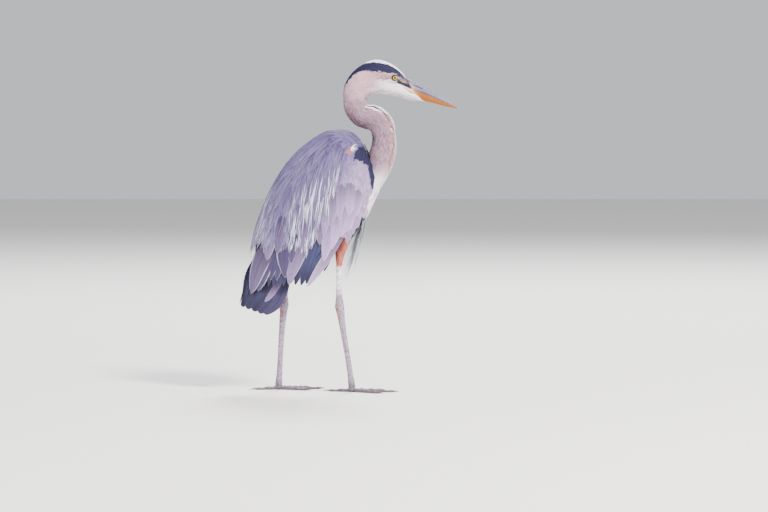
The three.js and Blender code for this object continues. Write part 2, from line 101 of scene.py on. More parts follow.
# The solids sit a little to one side of these lines, by the same amount everywhere.
SHIFT = np.array(sum(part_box("eye_left"), Vector()) / (2 * MM) - Vector(EYE))


def place(points):
    """Points of the bird's own lines, in millimetres, as metres in the shared frame."""
    return (np.asarray(points, float) + SHIFT) * MM


# ------------------------------------------------------------------ small sums
def smooth(x, low, high):
    """0 below low, 1 above high, and a smooth S between."""
    t = np.clip((np.asarray(x, float) - low) / (high - low), 0, 1)
    return t * t * (3 - 2 * t)


def mix(a, b, share):
    """a where share is 0, b where it is 1, and on the straight line between them elsewhere."""
    return a + (b - a) * share


def over(colour, other, share):
    """The other colour laid over the first, by each point's own share of it."""
    return mix(colour, other, share[..., None])


def unit(v):
    """Each vector divided by its own length."""
    return v / np.maximum(np.linalg.norm(v, axis=-1, keepdims=True), 1e-9)


def dot(a, b):
    """The products of the two vectors' parts, summed."""
    return (a * b).sum(-1)


def pairs(x, y):
    """Two grids: every value of x beside every value of y, x changing from row to row."""
    return np.meshgrid(x, y, indexing="ij")


def curve(rows, at):
    """A cubic through equally spaced rows, at row numbers at; it runs on straight past both ends."""
    rows = np.asarray(rows, float)
    last = len(rows) - 1
    inside = np.clip(at, 0, last)
    i = np.minimum(inside.astype(int), last - 1)
    f = (inside - i)[..., None]
    over = (np.asarray(at, float) - inside)[..., None]
    before, a, b, after = (rows[np.clip(i + k, 0, last)] for k in (-1, 0, 1, 2))
    slope_a, slope_b = (b - before) / 2, (after - a) / 2
    f2, f3 = f * f, f * f * f
    point = (2 * f3 - 3 * f2 + 1) * a + (f3 - 2 * f2 + f) * slope_a
    point = point + (3 * f2 - 2 * f3) * b + (f3 - f2) * slope_b
    return point + over * np.where(f < 0.5, slope_a, slope_b)


def srgb(*channels):
    """A colour given as 0 to 255 on a screen, as the linear values that shaders use."""
    c = np.array(channels, float) / 255
    return np.where(c <= 0.04045, c / 12.92, ((c + 0.055) / 1.055) ** 2.4)


# ------------------------------------------------------------------ surfaces of two parameters
# Each takes arrays (a, b) and a depth below the outline in millimetres, and gives points.
def tube_surface(sections):
    """An ellipse at each place along the sections, where b is the angle in degrees from the back, + to the
    left."""
    def at(a, b, depth=0.0):
        """The middle plus cos b of the half height towards the back and sin b of the half width sideways."""
        row = curve(sections, a)
        back, front, half = row[..., 0:2], row[..., 2:4], row[..., 4]
        middle, across = (back + front) / 2, back - front
        reach = np.linalg.norm(across, axis=-1) / 2
        up = across / (2 * reach[..., None])
        turn = np.radians(b)
        high = (reach - depth) * np.cos(turn)
        wide = (half - depth) * np.sin(turn)
        return np.stack([middle[..., 0] + up[..., 0] * high, wide, middle[..., 1] + up[..., 1] * high], -1)
    return at


def cloak_surface(back, edge, half_widths, edge_angle):
    """Hangs from the back line to the edge line: b degrees round, it is W sin b wide and has come
    (1 - cos b) / (1 - cos of the edge's angle) of the way down. a runs from 0 to 1 along it."""
    span = len(back) - 1
    full = 1 - np.cos(np.radians(edge_angle))
    rows = np.column_stack([back, edge, half_widths])

    def at(a, b, depth=0.0):
        """The point on the cloak, moved in along its normal by the depth."""
        row = curve(rows, np.asarray(a, float) * span)
        down = row[..., 2:4] - row[..., 0:2]
        turn = np.radians(b)
        share = (1 - np.cos(turn)) / full
        point = np.stack([
            row[..., 0] + down[..., 0] * share,
            row[..., 4] * np.sin(turn),
            row[..., 1] + down[..., 1] * share,
        ], -1)
        length = np.linalg.norm(down, axis=-1)
        flat = down / length[..., None]
        lean = -np.cos(turn) * row[..., 4]
        side = np.sin(turn) * length / full
        outward = unit(np.stack([flat[..., 0] * lean, side, flat[..., 1] * lean], -1))
        return point - outward * np.asarray(depth, float)[..., None]
    return at


body = tube_surface(BODY)
trunk = tube_surface(TRUNK)
cloak = cloak_surface(CLOAK_BACK, CLOAK_EDGE, CLOAK_HALF_WIDTH, WING_EDGE)
tail_roof = cloak_surface(TAIL_BACK, TAIL_SIDE, TAIL_HALF_WIDTH, TAIL_EDGE)


def limb_surface(points, widths):
    """A tube round a run of points. widths rows are [share of the way, fore-and-aft, sideways radius];
    a runs from 0 to 1 and b is the angle in degrees from straight ahead."""
    points, widths = np.asarray(points, float), np.asarray(widths, float)

    def at(a, b, depth=0.0):
        """The centre plus cos b of the fore-and-aft radius ahead and sin b of the sideways one."""
        centre = curve(points, np.asarray(a, float) * (len(points) - 1))
        fore = np.interp(a, widths[:, 0], widths[:, 1]) - depth
        side = np.interp(a, widths[:, 0], widths[:, 2]) - depth
        turn = np.radians(b)
        return centre + np.stack([fore * np.cos(turn), side * np.sin(turn), 0 * turn * fore], -1)
    return at


BARE = 0.57  # share of the shin where the feathers stop
SHIN_WIDTHS = [[0, 27, 20], [0.12, 22, 17], [0.24, 15, 14], [0.38, 13.2, 12.4], [0.46, 10.6, 10],
               [BARE, 6.5, 6.2], [0.6, 6.2, 5.6], [0.75, 6.2, 5.5], [0.88, 7.2, 6.3], [0.94, 9.4, 7.6],
               [1, 10.8, 8.4]]
TARSUS_WIDTHS = [[0, 10.8, 8.4], [0.06, 10, 7.8], [0.14, 8.2, 6.6], [0.3, 6.8, 5.3], [0.6, 6.1, 4.9],
                 [0.82, 6.4, 5.2], [0.93, 7.6, 7], [1, 8.4, 8.4]]
shins = {name: limb_surface(points, SHIN_WIDTHS) for name, points in SHINS.items()}
tarsi = {name: limb_surface(points, TARSUS_WIDTHS) for name, points in TARSI.items()}


def surface_frame(surface, a, b, step_a, step_b):
    """The point, both tangents (per unit of a and of b) and the outward normal, by small differences."""
    point = surface(a, b)
    along = (surface(a + step_a, b) - surface(a - step_a, b)) / (2 * step_a)
    around = (surface(a, b + step_b) - surface(a, b - step_b)) / (2 * step_b)
    outward = point - surface(a, b, np.ones(np.shape(a)))
    normal = unit(np.cross(along, around))
    return point, along, around, normal * np.sign(dot(normal, outward))[..., None]


# ------------------------------------------------------------------ colours
WHITE = srgb(240, 230, 240)
CHEEK = srgb(178, 142, 152)
EAR = srgb(124, 84, 86)
THROAT = srgb(220, 208, 216)
CROWN = srgb(28, 28, 53)
NECK_PINK = srgb(124, 92, 109)
NECK_FRONT = srgb(154, 108, 110)
NECK_SHADE = srgb(80, 60, 72)
NECK_DARK = srgb(48, 36, 46)
STREAK_DARK = srgb(24, 20, 28)
MANTLE = srgb(89, 77, 122)
MANTLE_DARK = srgb(58, 50, 81)
PLUME_PALE = srgb(232, 230, 250)
COVERT = srgb(150, 129, 168)
TERTIAL = srgb(66, 57, 87)
SLATE = srgb(34, 33, 52)
SLATE_BLUE = srgb(46, 48, 76)
SHOULDER_BLACK = srgb(26, 24, 54)
FACE_DUSK = srgb(80, 68, 82)
BREAST_PALE = srgb(250, 238, 248)
ORANGE_SKIN = srgb(176, 118, 66)
CREAM_SKIN = srgb(206, 166, 150)
EYELID = srgb(70, 62, 70)
EYE_RIM = srgb(26, 22, 26)
RUST = srgb(178, 92, 72)
RUST_DEEP = srgb(136, 66, 54)
BELLY_DARK = srgb(34, 33, 48)
BELLY_PALE = srgb(150, 140, 156)
PLUME_GREEN = srgb(172, 192, 200)
LORE = srgb(62, 54, 74)
LORE_PALE = srgb(196, 172, 118)
LORE_LIGHT = srgb(86, 76, 98)
LEG = srgb(158, 142, 162)
LEG_PALE = srgb(250, 246, 252)
ANKLE_ORANGE = srgb(184, 112, 84)
TOE = srgb(110, 96, 108)


def wander(points, size, seed):
    """A smooth random value from -1 to 1 that varies over about size millimetres: four mixed sine waves."""
    rng = np.random.default_rng(seed)
    total = 0
    for _ in range(4):
        way = unit(rng.normal(size=3)) * 2 * np.pi / size * rng.uniform(0.6, 1.6)
        total = total + np.sin(points @ way + rng.uniform(0, 6.28))
    return total / 2.6


def body_colour(points, s, angle):
    """Markings of the head, neck and breast, from the section number s and the angle from the back, with
    painted shade under the neck's bend and a painted highlight down its front.
    """
    away = np.abs(angle)
    n = wander(points, 26, 5)
    fine = wander(points, 7, 6)
    # From a white face the neck turns pink-grey, palest along its front.
    colour = over(CHEEK, NECK_PINK, smooth(s + 0.5 * n, 5.8, 9.0))
    front = smooth(away, 95, 165) * smooth(s, 8, 11)
    colour = over(colour, NECK_FRONT, front * 0.75)
    # Painted shade: darker on the underside of the neck's lower bend, which faces down over the shoulders.
    shade = smooth(s, 8.5, 9.6) * (1 - smooth(s, 11, 12.4)) * (1 - smooth(away, 40, 100))
    colour = over(colour, NECK_SHADE, 0.65 * shade)
    colour = over(colour, NECK_SHADE, np.clip(0.2 * fine + 0.16 * n, 0, 1) * smooth(s, 5, 7))
    # Face: white below and before the ear, with a warm patch behind the eye and a dusky line under it.
    off = points - EYE * np.stack([np.ones(s.shape), np.sign(points[..., 1]), np.ones(s.shape)], -1)
    low_face = smooth(away, 84, 100) * (1 - smooth(s, 3.2, 4.8))
    colour = over(colour, WHITE, low_face)
    throat = smooth(away, 128, 150) * (1 - smooth(s, 4.5, 6.5))
    colour = over(colour, THROAT, throat)
    ear = np.exp(-((off[..., 0] + 25) / 25) ** 2 - ((off[..., 2] - 1) / 8.5) ** 2)
    colour = over(colour, EAR, np.clip(1.25 * ear * (0.75 + 0.25 * fine), 0, 1))
    colour = over(colour, FACE_DUSK, 0.85 * under_eye(off))
    # Grey-lilac down from the stripe to the bare lore, in front of the eye.
    before = smooth(off[..., 0], 5, 11) * smooth(off[..., 2] + 5 + 0.4 * off[..., 0], -3, 1)
    colour = over(colour, LORE_LIGHT, 0.85 * before * (0.8 + 0.2 * fine))
    # The crown is white along its middle with a black stripe on each side, and the stripes meet on the nape.
    low_edge = np.interp(
        s, [0, 0.8, 1.3, 2.2, 3, 4, 4.35, 5, 6.2, 6.9, 7.4], [44, 60, 64, 67, 74, 76, 73, 54, 36, 24, 0])
    high_edge = np.interp(s, [0, 1, 2.4, 3.3, 4, 4.5, 5.1], [24, 29, 29, 34, 31, 22, -15])
    ragged = 3.5 * fine
    stripe = smooth(low_edge + ragged - away, -3, 3) * smooth(away - high_edge - 0.5 * ragged, -3, 3)
    crown = (1 - smooth(s, 4.4, 5.0)) * (1 - smooth(away, high_edge - 4, high_edge + 4))
    colour = over(colour, WHITE, crown)
    ink = over(CROWN, LORE_LIGHT, 0.75 * (1 - smooth(s + 0.25 * fine, 0.5, 1.7)))
    colour = over(colour, ink, stripe)
    # Black and white dashes where the throat turns down, and a thin dark line down the front of the neck.
    dashes = smooth(away, 122, 136) * smooth(s, 9.6, 10.0) * (1 - smooth(s, 11.8, 13.0))
    bars = smooth(np.sin(away * 0.27 + 1.4 * s), -0.15, 0.2)
    colour = over(colour, over(CROWN, WHITE, bars), 0.95 * dashes)
    line = np.exp(-((away - 140 - 7 * np.sin(1.9 * s)) / 6.0) ** 2)
    line = line * smooth(s, 11.3, 12.2) * (1 - smooth(s, 15, 17))
    colour = over(colour, NECK_DARK, 0.55 * line)
    # Painted highlight: a pale line down the very front of the lower neck, where the light catches it.
    rim = smooth(away, 150, 168) * smooth(s, 11.5, 13)
    colour = over(colour, WHITE, 0.4 * rim)
    # A dark mark on the back of the neck's foot.
    mark = np.exp(-((s - 13.6) / 1.0) ** 2 - (away / 42.0) ** 2)
    colour = over(colour, NECK_DARK, np.clip(0.8 * mark, 0, 1))
    pale = smooth(s, 16.0, 17.8) * smooth(away, 40, 110)
    colour = over(colour, BREAST_PALE, pale)
    belly = smooth(s + 0.3 * n, 19.1, 19.8) * (1 - smooth(away, 148, 166))
    return over(colour, BELLY_DARK, belly)


def under_eye(off):
    """1 on the dusky line from under the eye to the corner of the mouth."""
    middle = np.interp(off[..., 0], [-30, -8, 5, 33], [-8, -9.5, -11, -20.5])
    width = np.interp(off[..., 0], [-24, 0, 30], [0.9, 1.6, 2.4])
    return np.exp(-((off[..., 2] - middle) / width) ** 2) * smooth(off[..., 0], -30, -6)


def cloak_colour(points, v, angle):
    """The even ground colour of the back and wings: blue-grey above, paler and pinker on the wing's front."""
    away = np.abs(angle)
    n = wander(points, 34, 8)[..., None]
    colour = over(MANTLE, MANTLE_DARK, smooth(v, 0.25, 0.75) * (1 - smooth(away, 20, 60)) * 0.4)
    front = over(0.5 * COVERT, 0.84 * COVERT, smooth(v, 0.08, 0.34))
    colour = over(colour, front, smooth(away, 62, 92))
    return colour * (1 + 0.08 * n)


def trunk_colour(points):
    """Under the wings the flanks are dark, the middle of the belly and the vent pale."""
    side = np.abs(points[..., 1])
    pale = 1 - smooth(side, 10, 26)
    return over(BELLY_DARK, BELLY_PALE, pale)


# ------------------------------------------------------------------ putting arrays into meshes
def make_mesh(name, co, tri, tint=None, vane=None, uv=None, sharp=None):
    """A mesh of triangles with its colour, blade and bake-map attributes."""
    mesh = bpy.data.meshes.new(name)
    mesh.vertices.add(len(co))
    mesh.vertices.foreach_set("co", place(co).astype(np.float32).ravel())
    mesh.loops.add(tri.size)
    mesh.loops.foreach_set("vertex_index", tri.astype(np.int32).ravel())
    mesh.polygons.add(len(tri))
    mesh.polygons.foreach_set("loop_start", np.arange(len(tri), dtype=np.int32) * 3)
    mesh.polygons.foreach_set("use_smooth", np.ones(len(tri), bool))
    mesh.update(calc_edges=True)
    if tint is not None:
        layer = mesh.attributes.new("tint", "FLOAT_COLOR", "POINT")
        layer.data.foreach_set("color", tint.astype(np.float32).ravel())
    if vane is not None:
        layer = mesh.attributes.new("vane", "FLOAT_VECTOR", "POINT")
        layer.data.foreach_set("vector", vane.astype(np.float32).ravel())
    if uv is not None:
        layer = mesh.uv_layers.new(name="OFBake")
        layer.data.foreach_set("uv", uv[tri.ravel()].astype(np.float32).ravel())
    if sharp is not None:
        mesh.set_sharp_from_angle(angle=sharp)
    mesh.validate()
    piece = bpy.data.objects.new(name, mesh)
    bpy.context.scene.collection.objects.link(piece)
    return piece


def closed_tube(points):
    """Triangles over rings of points (rings, around, 3), with a fan at each end, all facing outwards. The
    fans' middles are the last two points."""
    rings, around = points.shape[:2]
    i, j = pairs(np.arange(rings - 1), np.arange(around))
    a = i * around + j
    b = i * around + (j + 1) % around
    tri = [
        np.stack([a, b, b + around], -1).reshape(-1, 3),
        np.stack([a, b + around, a + around], -1).reshape(-1, 3),
    ]
    co = np.concatenate([points.reshape(-1, 3), points[0].mean(0)[None], points[-1].mean(0)[None]])
    k = np.arange(around)
    first, last = rings * around, rings * around + 1
    tri.append(np.stack([np.full(around, first), (k + 1) % around, k], -1))
    top = (rings - 1) * around
    tri.append(np.stack([np.full(around, last), top + k, top + (k + 1) % around], -1))
    return co, turned_outward(co, np.concatenate(tri))


def turned_outward(co, tri):
    """Turns all faces round if the closed surface encloses a negative volume."""
    a, b, c = (co[tri[:, k]] for k in range(3))
    return tri if dot(np.cross(a, b), c).sum() > 0 else tri[:, ::-1]


def joined(parts):
    """Several (co, tri) as one: each set of triangles counts on from the points before it."""
    offsets = np.cumsum([0] + [len(co) for co, _ in parts[:-1]])
    co = np.concatenate([co for co, _ in parts])
    return co, np.concatenate([tri + offset for (_, tri), offset in zip(parts, offsets)])


def modified(piece, *modifiers):
    """Runs the modifiers, given as (type, settings), and keeps their result as the mesh."""
    for kind, settings in modifiers:
        modifier = piece.modifiers.new(kind.lower(), kind)
        for key, value in settings.items():
            setattr(modifier, key, value)
    graph = bpy.context.evaluated_depsgraph_get()
    graph.update()
    mesh = bpy.data.meshes.new_from_object(piece.evaluated_get(graph))
    piece.modifiers.clear()
    old, piece.data = piece.data, mesh
    bpy.data.meshes.remove(old)
    return piece


def vertices_of(mesh):
    """The mesh's points, in millimetres of the bird's own lines."""
    co = np.empty(len(mesh.vertices) * 3, np.float32)
    mesh.vertices.foreach_get("co", co)
    return co.reshape(-1, 3).astype(float) / MM - SHIFT


def set_vertices(mesh, co):
    """Puts points in millimetres of the bird's own lines back into the mesh."""
    mesh.vertices.foreach_set("co", place(co).astype(np.float32).ravel())
    mesh.update()


# ------------------------------------------------------------------ feathers
def outline(t, rise, hold, power, blunt):
    """A blade's width along it: it opens over the first rise, is full to hold and closes to its tip."""
    opening = np.clip(t / rise, 0, 1) ** 0.6
    closing = np.clip((t - hold) / (1 - hold), 0, 1) ** power
    return opening * (1 - closing) ** blunt


CONTOUR = dict(rise=0.35, hold=0.3, power=2.2, blunt=0.55)
LANCE = dict(rise=0.2, hold=0.1, power=1.1, blunt=0.85)
BROAD = dict(rise=0.18, hold=0.3, power=2.1, blunt=0.78)
ROUNDED = dict(rise=0.15, hold=0.45, power=2.4, blunt=0.5)
HAIR = dict(rise=0.1, hold=0.05, power=0.9, blunt=0.8)
LEAST_HALF_WIDTH = 0.12  # millimetres: no blade closes to less, so that it stays solid


def shares(rows, crowding=1.35):
    """Row places from root to tip, closer together towards the tip so that it can be round."""
    return 1 - (1 - np.linspace(0, 1, rows)) ** crowding


def blades(spine, normal, width, shape, chart, base, tip, fringe, thick=0.3, camber=0.12, columns=3,
           fade=(0.35, 1.0), patch=0.003):
    """Closed blades. spine and normal are (rows, n, 3), width (n,) full widths in millimetres.
    A ring at each row is a flat lens: points at u from -1 to 1 lie u half-widths to the side and
    camber (1 - u squared) half-widths up, on a top and a bottom face that meet at the edges.
    The colour goes from base to tip over fade, and chart is each blade's place on the bake map."""
    rows, n = spine.shape[:2]
    t = shares(rows)
    along = np.gradient(spine, axis=0)
    side = unit(np.cross(normal, along))
    up = unit(np.cross(along, side))
    half = outline(t, **shape)[:, None] * width[None, :] / 2
    half = np.maximum(half, LEAST_HALF_WIDTH)
    top = np.linspace(-1, 1, columns)
    u = np.concatenate([top, top[-2:0:-1]])
    face = np.concatenate([np.ones(columns), -np.ones(columns - 2)])
    lens = face * np.sqrt(np.maximum(1 - u * u, 0))
    ring = len(u)
    taper = np.sqrt(np.clip(half / (width[None, :] / 2), 0.05, 1))
    lift = lens[None, None, :] * (thick / 2) * taper[..., None] + camber * (1 - u * u) * half[..., None]
    co = spine[:, :, None, :] + side[:, :, None, :] * (half[..., None] * u)[..., None]
    co = co + up[:, :, None, :] * lift[..., None]
    # Two triangles for each cell between one row's ring and the next, and flat caps at root and tip.
    index = np.arange(rows * n * ring).reshape(rows, n, ring)
    a, b = index[:-1], np.roll(index, -1, axis=2)[:-1]
    c, d = np.roll(index, -1, axis=2)[1:], index[1:]
    tri = [np.stack([a, b, c], -1).reshape(-1, 3), np.stack([a, c, d], -1).reshape(-1, 3)]
    for row, order in ((0, 1), (rows - 1, -1)):
        e = index[row]
        left, right = np.arange(1, columns - 1), ring - np.arange(1, columns - 1)
        cap = [np.stack([e[:, 0], e[:, right[0]], e[:, left[0]]], -1)]
        cap.append(np.stack([e[:, columns - 1], e[:, left[-1]], e[:, right[-1]]], -1))
        for k in range(columns - 3):
            cap.append(np.stack([e[:, left[k]], e[:, right[k]], e[:, right[k + 1]]], -1))
            cap.append(np.stack([e[:, left[k]], e[:, right[k + 1]], e[:, left[k + 1]]], -1))
        tri.extend(x[:, ::order] for x in cap)
    tri = np.concatenate(tri)
    seed = RNG.random(n)
    vane = np.empty((rows, n, ring, 3))
    vane[..., 0], vane[..., 1], vane[..., 2] = t[:, None, None], u, seed[:, None]
    share = smooth(t, *fade)[:, None, None, None]
    base, tip = (np.broadcast_to(colour, (n, 3)) for colour in (base, tip))
    tint = np.empty((rows, n, ring, 4))
    tint[..., :3] = mix(base[None, :, None, :], tip[None, :, None, :], share)
    tint[..., 3] = np.broadcast_to(fringe, (n,))[None, :, None]
    uv = np.empty((rows, n, ring, 2))
    uv[..., 0] = chart[None, :, None, 0] + u * patch / 2
    uv[..., 1] = chart[None, :, None, 1] + (t[:, None, None] - 0.5) * patch
    co, tint, vane, uv = (x.reshape(-1, x.shape[-1]) for x in (co, tint, vane, uv))
    # The top faces point up; if they don't, all faces are turned round.
    first = tri[: (rows - 1) * n * ring]
    p, q, r = (co[first[:, k]] for k in range(3))
    face_normal = np.cross(q - p, r - p)
    is_top = np.tile([1.0] * (columns - 1) + [0.0] * (columns - 1), n * (rows - 1))
    up_there = np.repeat(up[:-1].reshape(-1, 3), ring, axis=0)
    if (dot(face_normal, up_there) * is_top).sum() < 0:
        tri = tri[:, ::-1]
    return dict(co=co, tri=tri, tint=tint, vane=vane, uv=uv)


def lay(surface, a, b, length, rows, depth, tip_depth, flow=None, sway=0.0, steps=(1e-3, 0.2), rise=0.8):
    """Centrelines on a surface. Each step follows the wanted direction as nearly as the surface allows,
    while the line rises from depth below the outline at its root to tip_depth at its tip.
    Gives the lines, the normals, and the (a, b) they pass, all as (rows, n, ...)."""
    a, b = np.array(a, float), np.array(b, float)
    spine, normals, path = [], [], []
    t = shares(rows)
    for at, step in zip(t, np.append(np.diff(t), 0)):
        point, along, around, normal = surface_frame(surface, a, b, *steps)
        deep = mix(depth, tip_depth, at ** rise)
        spine.append(point - normal * np.broadcast_to(deep, a.shape)[..., None])
        normals.append(normal)
        path.append(np.stack([a, b], -1))
        way = unit(along) if flow is None else unit(flow(point, along, around, a, b))
        if np.any(sway):
            sideways = np.cross(normal, way)
            way = way * np.cos(sway)[..., None] + sideways * np.sin(sway)[..., None]
        way = way * (length * step)[..., None]
        # Least squares on the tangent plane for the two parameter steps.
        g11, g12, g22 = dot(along, along), dot(along, around), dot(around, around)
        r1, r2 = dot(along, way), dot(around, way)
        under = np.maximum(g11 * g22 - g12 * g12, 1e-12)
        a = a + (g22 * r1 - g12 * r2) / under
        b = b + (g11 * r2 - g12 * r1) / under
    return np.array(spine), np.array(normals), np.array(path)


def seen_place(surface, path):
    """The point, a and b nearly two thirds of the way along each blade, where its markings are taken."""
    a, b = path[int(0.62 * len(path))].T
    return surface(a, b), a, b


EVEN_STEPS = (0.7548776662, 0.5698402910)  # whole multiples of these, less their whole part, never bunch up


def scatter(surface, a_range, b_range, count, keep=None):
    """About count roots spread evenly by area: multiples of two numbers that spread evenly over a square,
    the first one warped by the running area along a. keep(a, b) says which stay."""
    grid_a = np.linspace(*a_range, 160)
    grid_b = np.linspace(*b_range, 60)
    points = surface(*pairs(grid_a, grid_b))
    cell = np.cross(points[1:, :-1] - points[:-1, :-1], points[:-1, 1:] - points[:-1, :-1])
    area = np.linalg.norm(cell, axis=-1).sum(1)
    running = np.concatenate([[0], np.cumsum(area)]) / area.sum()
    k = np.arange(count) + 0.5
    a = np.interp((k * EVEN_STEPS[0]) % 1, running, grid_a)
    b = mix(b_range[0], b_range[1], (k * EVEN_STEPS[1]) % 1)
    if keep is not None:
        stay = keep(a, b)
        a, b = a[stay], b[stay]
    return a, b


def chart_of(a, b, a_range, b_range):
    """The root's place on the unwrapped skin, as a point of the bake map: its shares of the two ranges."""
    return np.stack([
        0.01 + 0.98 * (a - a_range[0]) / (a_range[1] - a_range[0]),
        0.01 + 0.98 * (b - b_range[0]) / (b_range[1] - b_range[0]),
    ], -1)


def coat(name, parts, material, replaced=()):
    """One coat piece from sets of blades, joined end to end."""
    co, tri = joined([(part["co"], part["tri"]) for part in parts])
    tint, vane, uv = (np.concatenate([part[key] for part in parts]) for key in ("tint", "vane", "uv"))
    finish_piece(make_mesh(name, co, tri, tint, vane, uv, sharp=0.9), material, replaced)


def finish_piece(piece, material, replaced=()):
    """Gives the piece its material and slot, hangs it from the root empty, and hides the solids it stands in
    for.
    """
    piece.data.materials.clear()
    piece.data.materials.append(material)
    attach(piece, "root")
    if replaced:
        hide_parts(*replaced)


# ------------------------------------------------------------------ shader helpers
class Nodes:
    """A short way to write a node tree."""

    def __init__(self, tree):
        self.tree = tree

    def add(self, kind, inputs=None, **settings):
        """A new node with these settings, each input a value or another node's output."""
        node = self.tree.nodes.new(kind)
        for key, value in settings.items():
            setattr(node, key, value)
        for key, value in (inputs or {}).items():
            self.put(node.inputs[key], value)
        return node

    def put(self, socket, value):
        """Links an output to the socket, or sets the socket's own value."""
        if isinstance(value, bpy.types.NodeSocket):
            self.tree.links.new(value, socket)
        else:
            socket.default_value = value

    def maths(self, operation, a, b=0.0):
        """The operation on a and b."""
        return self.add("ShaderNodeMath", {0: a, 1: b}, operation=operation).outputs[0]

    def times(self, a, b):
        """a times b."""
        return self.maths("MULTIPLY", a, b)

    def plus(self, a, b):
        """a and b added."""
        return self.maths("ADD", a, b)

    def minus(self, a, b):
        """a less b."""
        return self.maths("SUBTRACT", a, b)

    def ramp(self, value, low, high, to_low=0.0, to_high=1.0):
        """A smooth S from to_low, where value is low, to to_high, where it is high."""
        ends = {"Value": value, "From Min": low, "From Max": high, "To Min": to_low, "To Max": to_high}
        return self.add("ShaderNodeMapRange", ends, interpolation_type="SMOOTHSTEP").outputs[0]

    def blend(self, factor, a, b, blend_type="MIX"):
        """Colour a with b laid over it by the factor."""
        node = self.add("ShaderNodeMix", data_type="RGBA", blend_type=blend_type)
        self.put(node.inputs[0], factor)
        self.put(node.inputs[6], a)
        self.put(node.inputs[7], b)
        return node.outputs[2]

    def noise(self, vector, scale, detail=2.0, roughness=0.5):
        """Cloudy noise around a half."""
        look = {"Vector": vector, "Scale": scale, "Detail": detail, "Roughness": roughness}
        return self.add("ShaderNodeTexNoise", look).outputs[0]

    def vector(self, x, y, z=0.0):
        """A vector of three values."""
        return self.add("ShaderNodeCombineXYZ", {0: x, 1: y, 2: z}).outputs[0]

    def grey(self, tone):
        """The colour with the tone in all its channels."""
        return self.add("ShaderNodeCombineColor", {0: tone, 1: tone, 2: tone}).outputs[0]

    def attribute(self, name):
        """The outputs of a mesh attribute."""
        return self.add("ShaderNodeAttribute", attribute_name=name).outputs

    def place(self):
        """The point on the piece, in its own metres."""
        return self.add("ShaderNodeTexCoord").outputs["Object"]


def group(name, inputs, outputs):
    """A node group with named sockets: lists of (name, type, value)."""
    tree = bpy.data.node_groups.new(name, "ShaderNodeTree")
    for label, kind, value in inputs:
        socket = tree.interface.new_socket(label, in_out="INPUT", socket_type="NodeSocket" + kind)
        if value is not None:
            socket.default_value = value
    for label, kind in outputs:
        tree.interface.new_socket(label, in_out="OUTPUT", socket_type="NodeSocket" + kind)
    n = Nodes(tree)
    start, end = n.add("NodeGroupInput"), n.add("NodeGroupOutput")
    return n, start.outputs, end


def paint(*channels):
    """A colour given as 0 to 255 on a screen, as the four linear values of a colour socket."""
    return (*map(float, srgb(*channels)), 1.0)


def feather_vane_group():
    """Barbs, shaft, pale fringe and a darker root for a blade; the root is partly a feather's real greyer
    base and partly painted shade where the feather over it would shade it. Blade runs (along, across, seed).
    The barbs are noise stretched across the blade, and the tone they give multiplies the tint."""
    n, given, end = group("feather_vane", [
        ("Tint", "Color", (1, 1, 1, 1)), ("Fringe", "Float", 0.0), ("Blade", "Vector", None),
        ("Barbs", "Float", 26.0), ("Contrast", "Float", 0.3), ("Shaft", "Float", 0.25),
        ("Root Grey And Painted Shade", "Float", 0.35), ("Fringe Start", "Float", 0.62),
    ], [("Color", "Color"), ("Height", "Float")])
    split = n.add("ShaderNodeSeparateXYZ", {0: given["Blade"]}).outputs
    along, across, seed = split[0], split[1], split[2]
    away = n.maths("ABSOLUTE", across)
    # Barbs run out and forward from the shaft, in clumps that differ from feather to feather.
    slant = n.minus(n.times(along, given["Barbs"]), n.times(away, 3.2))
    barb = n.noise(n.vector(slant, n.times(across, 0.5), n.times(seed, 97.0)), 1.0, 3.0, 0.65)
    streak = n.noise(n.vector(n.times(across, 2.6), along, n.times(seed, 41.0)), 1.6, 2.0)
    tone = n.plus(n.times(n.minus(barb, 0.5), given["Contrast"]),
                   n.times(n.minus(streak, 0.5), given["Contrast"]))
    tone = n.plus(tone, n.times(n.minus(seed, 0.5), 0.22))
    tone = n.plus(tone, 1.0)
    # Painted shade, partly real: the root darkens as a real feather's greyer base does, and as shade under
    # the feather that overlaps it.
    root = n.ramp(along, 0.0, 0.68, n.minus(1.0, given["Root Grey And Painted Shade"]), 1.0)
    tone = n.times(tone, root)
    shaded = n.blend(1.0, given["Tint"], n.grey(tone), "MULTIPLY")
    edge = n.maths("MAXIMUM", n.ramp(away, given["Fringe Start"], 0.97), n.ramp(along, 0.975, 1.0))
    edge = n.times(n.times(edge, given["Fringe"]), n.ramp(along, 0.25, 0.5))
    pale = n.blend(0.7, shaded, (0.72, 0.68, 0.78, 1))
    colour = n.blend(edge, shaded, pale)
    shaft = n.times(n.ramp(away, 0.1, 0.02), given["Shaft"])
    colour = n.blend(shaft, colour, n.blend(1.0, colour, (0.35, 0.3, 0.34, 1), "MULTIPLY"))
    n.put(end.inputs["Color"], colour)
    height = n.plus(n.times(barb, 0.7), n.times(n.ramp(away, 0.12, 0.0), 0.5))
    n.put(end.inputs["Height"], height)
    return n.tree


def scale_group():
    """Small plates on bare skin: cells with dark seams, each cell its own tone."""
    n, given, end = group("leg_scales", [
        ("Vector", "Vector", None), ("Size", "Float", 330.0), ("Speckle", "Float", 0.5),
    ], [("Tone", "Float"), ("Height", "Float")])
    stretched = n.add("ShaderNodeMapping", {"Vector": given["Vector"], "Scale": (1.0, 1.0, 0.72)}).outputs[0]
    edge = n.add("ShaderNodeTexVoronoi", {"Vector": stretched, "Scale": given["Size"]},
                 feature="DISTANCE_TO_EDGE").outputs[0]
    cell = n.add("ShaderNodeTexVoronoi", {"Vector": stretched, "Scale": given["Size"]}).outputs[1]
    own = n.add("ShaderNodeSeparateColor", {0: cell}).outputs[0]
    dark = n.times(n.ramp(own, 0.55, 0.8), given["Speckle"])
    seam = n.ramp(edge, 0.0, 0.14)
    n.put(end.inputs["Tone"], n.times(n.minus(1.0, dark), n.plus(0.55, n.times(seam, 0.45))))
    n.put(end.inputs["Height"], n.ramp(edge, 0.0, 0.3))
    return n.tree


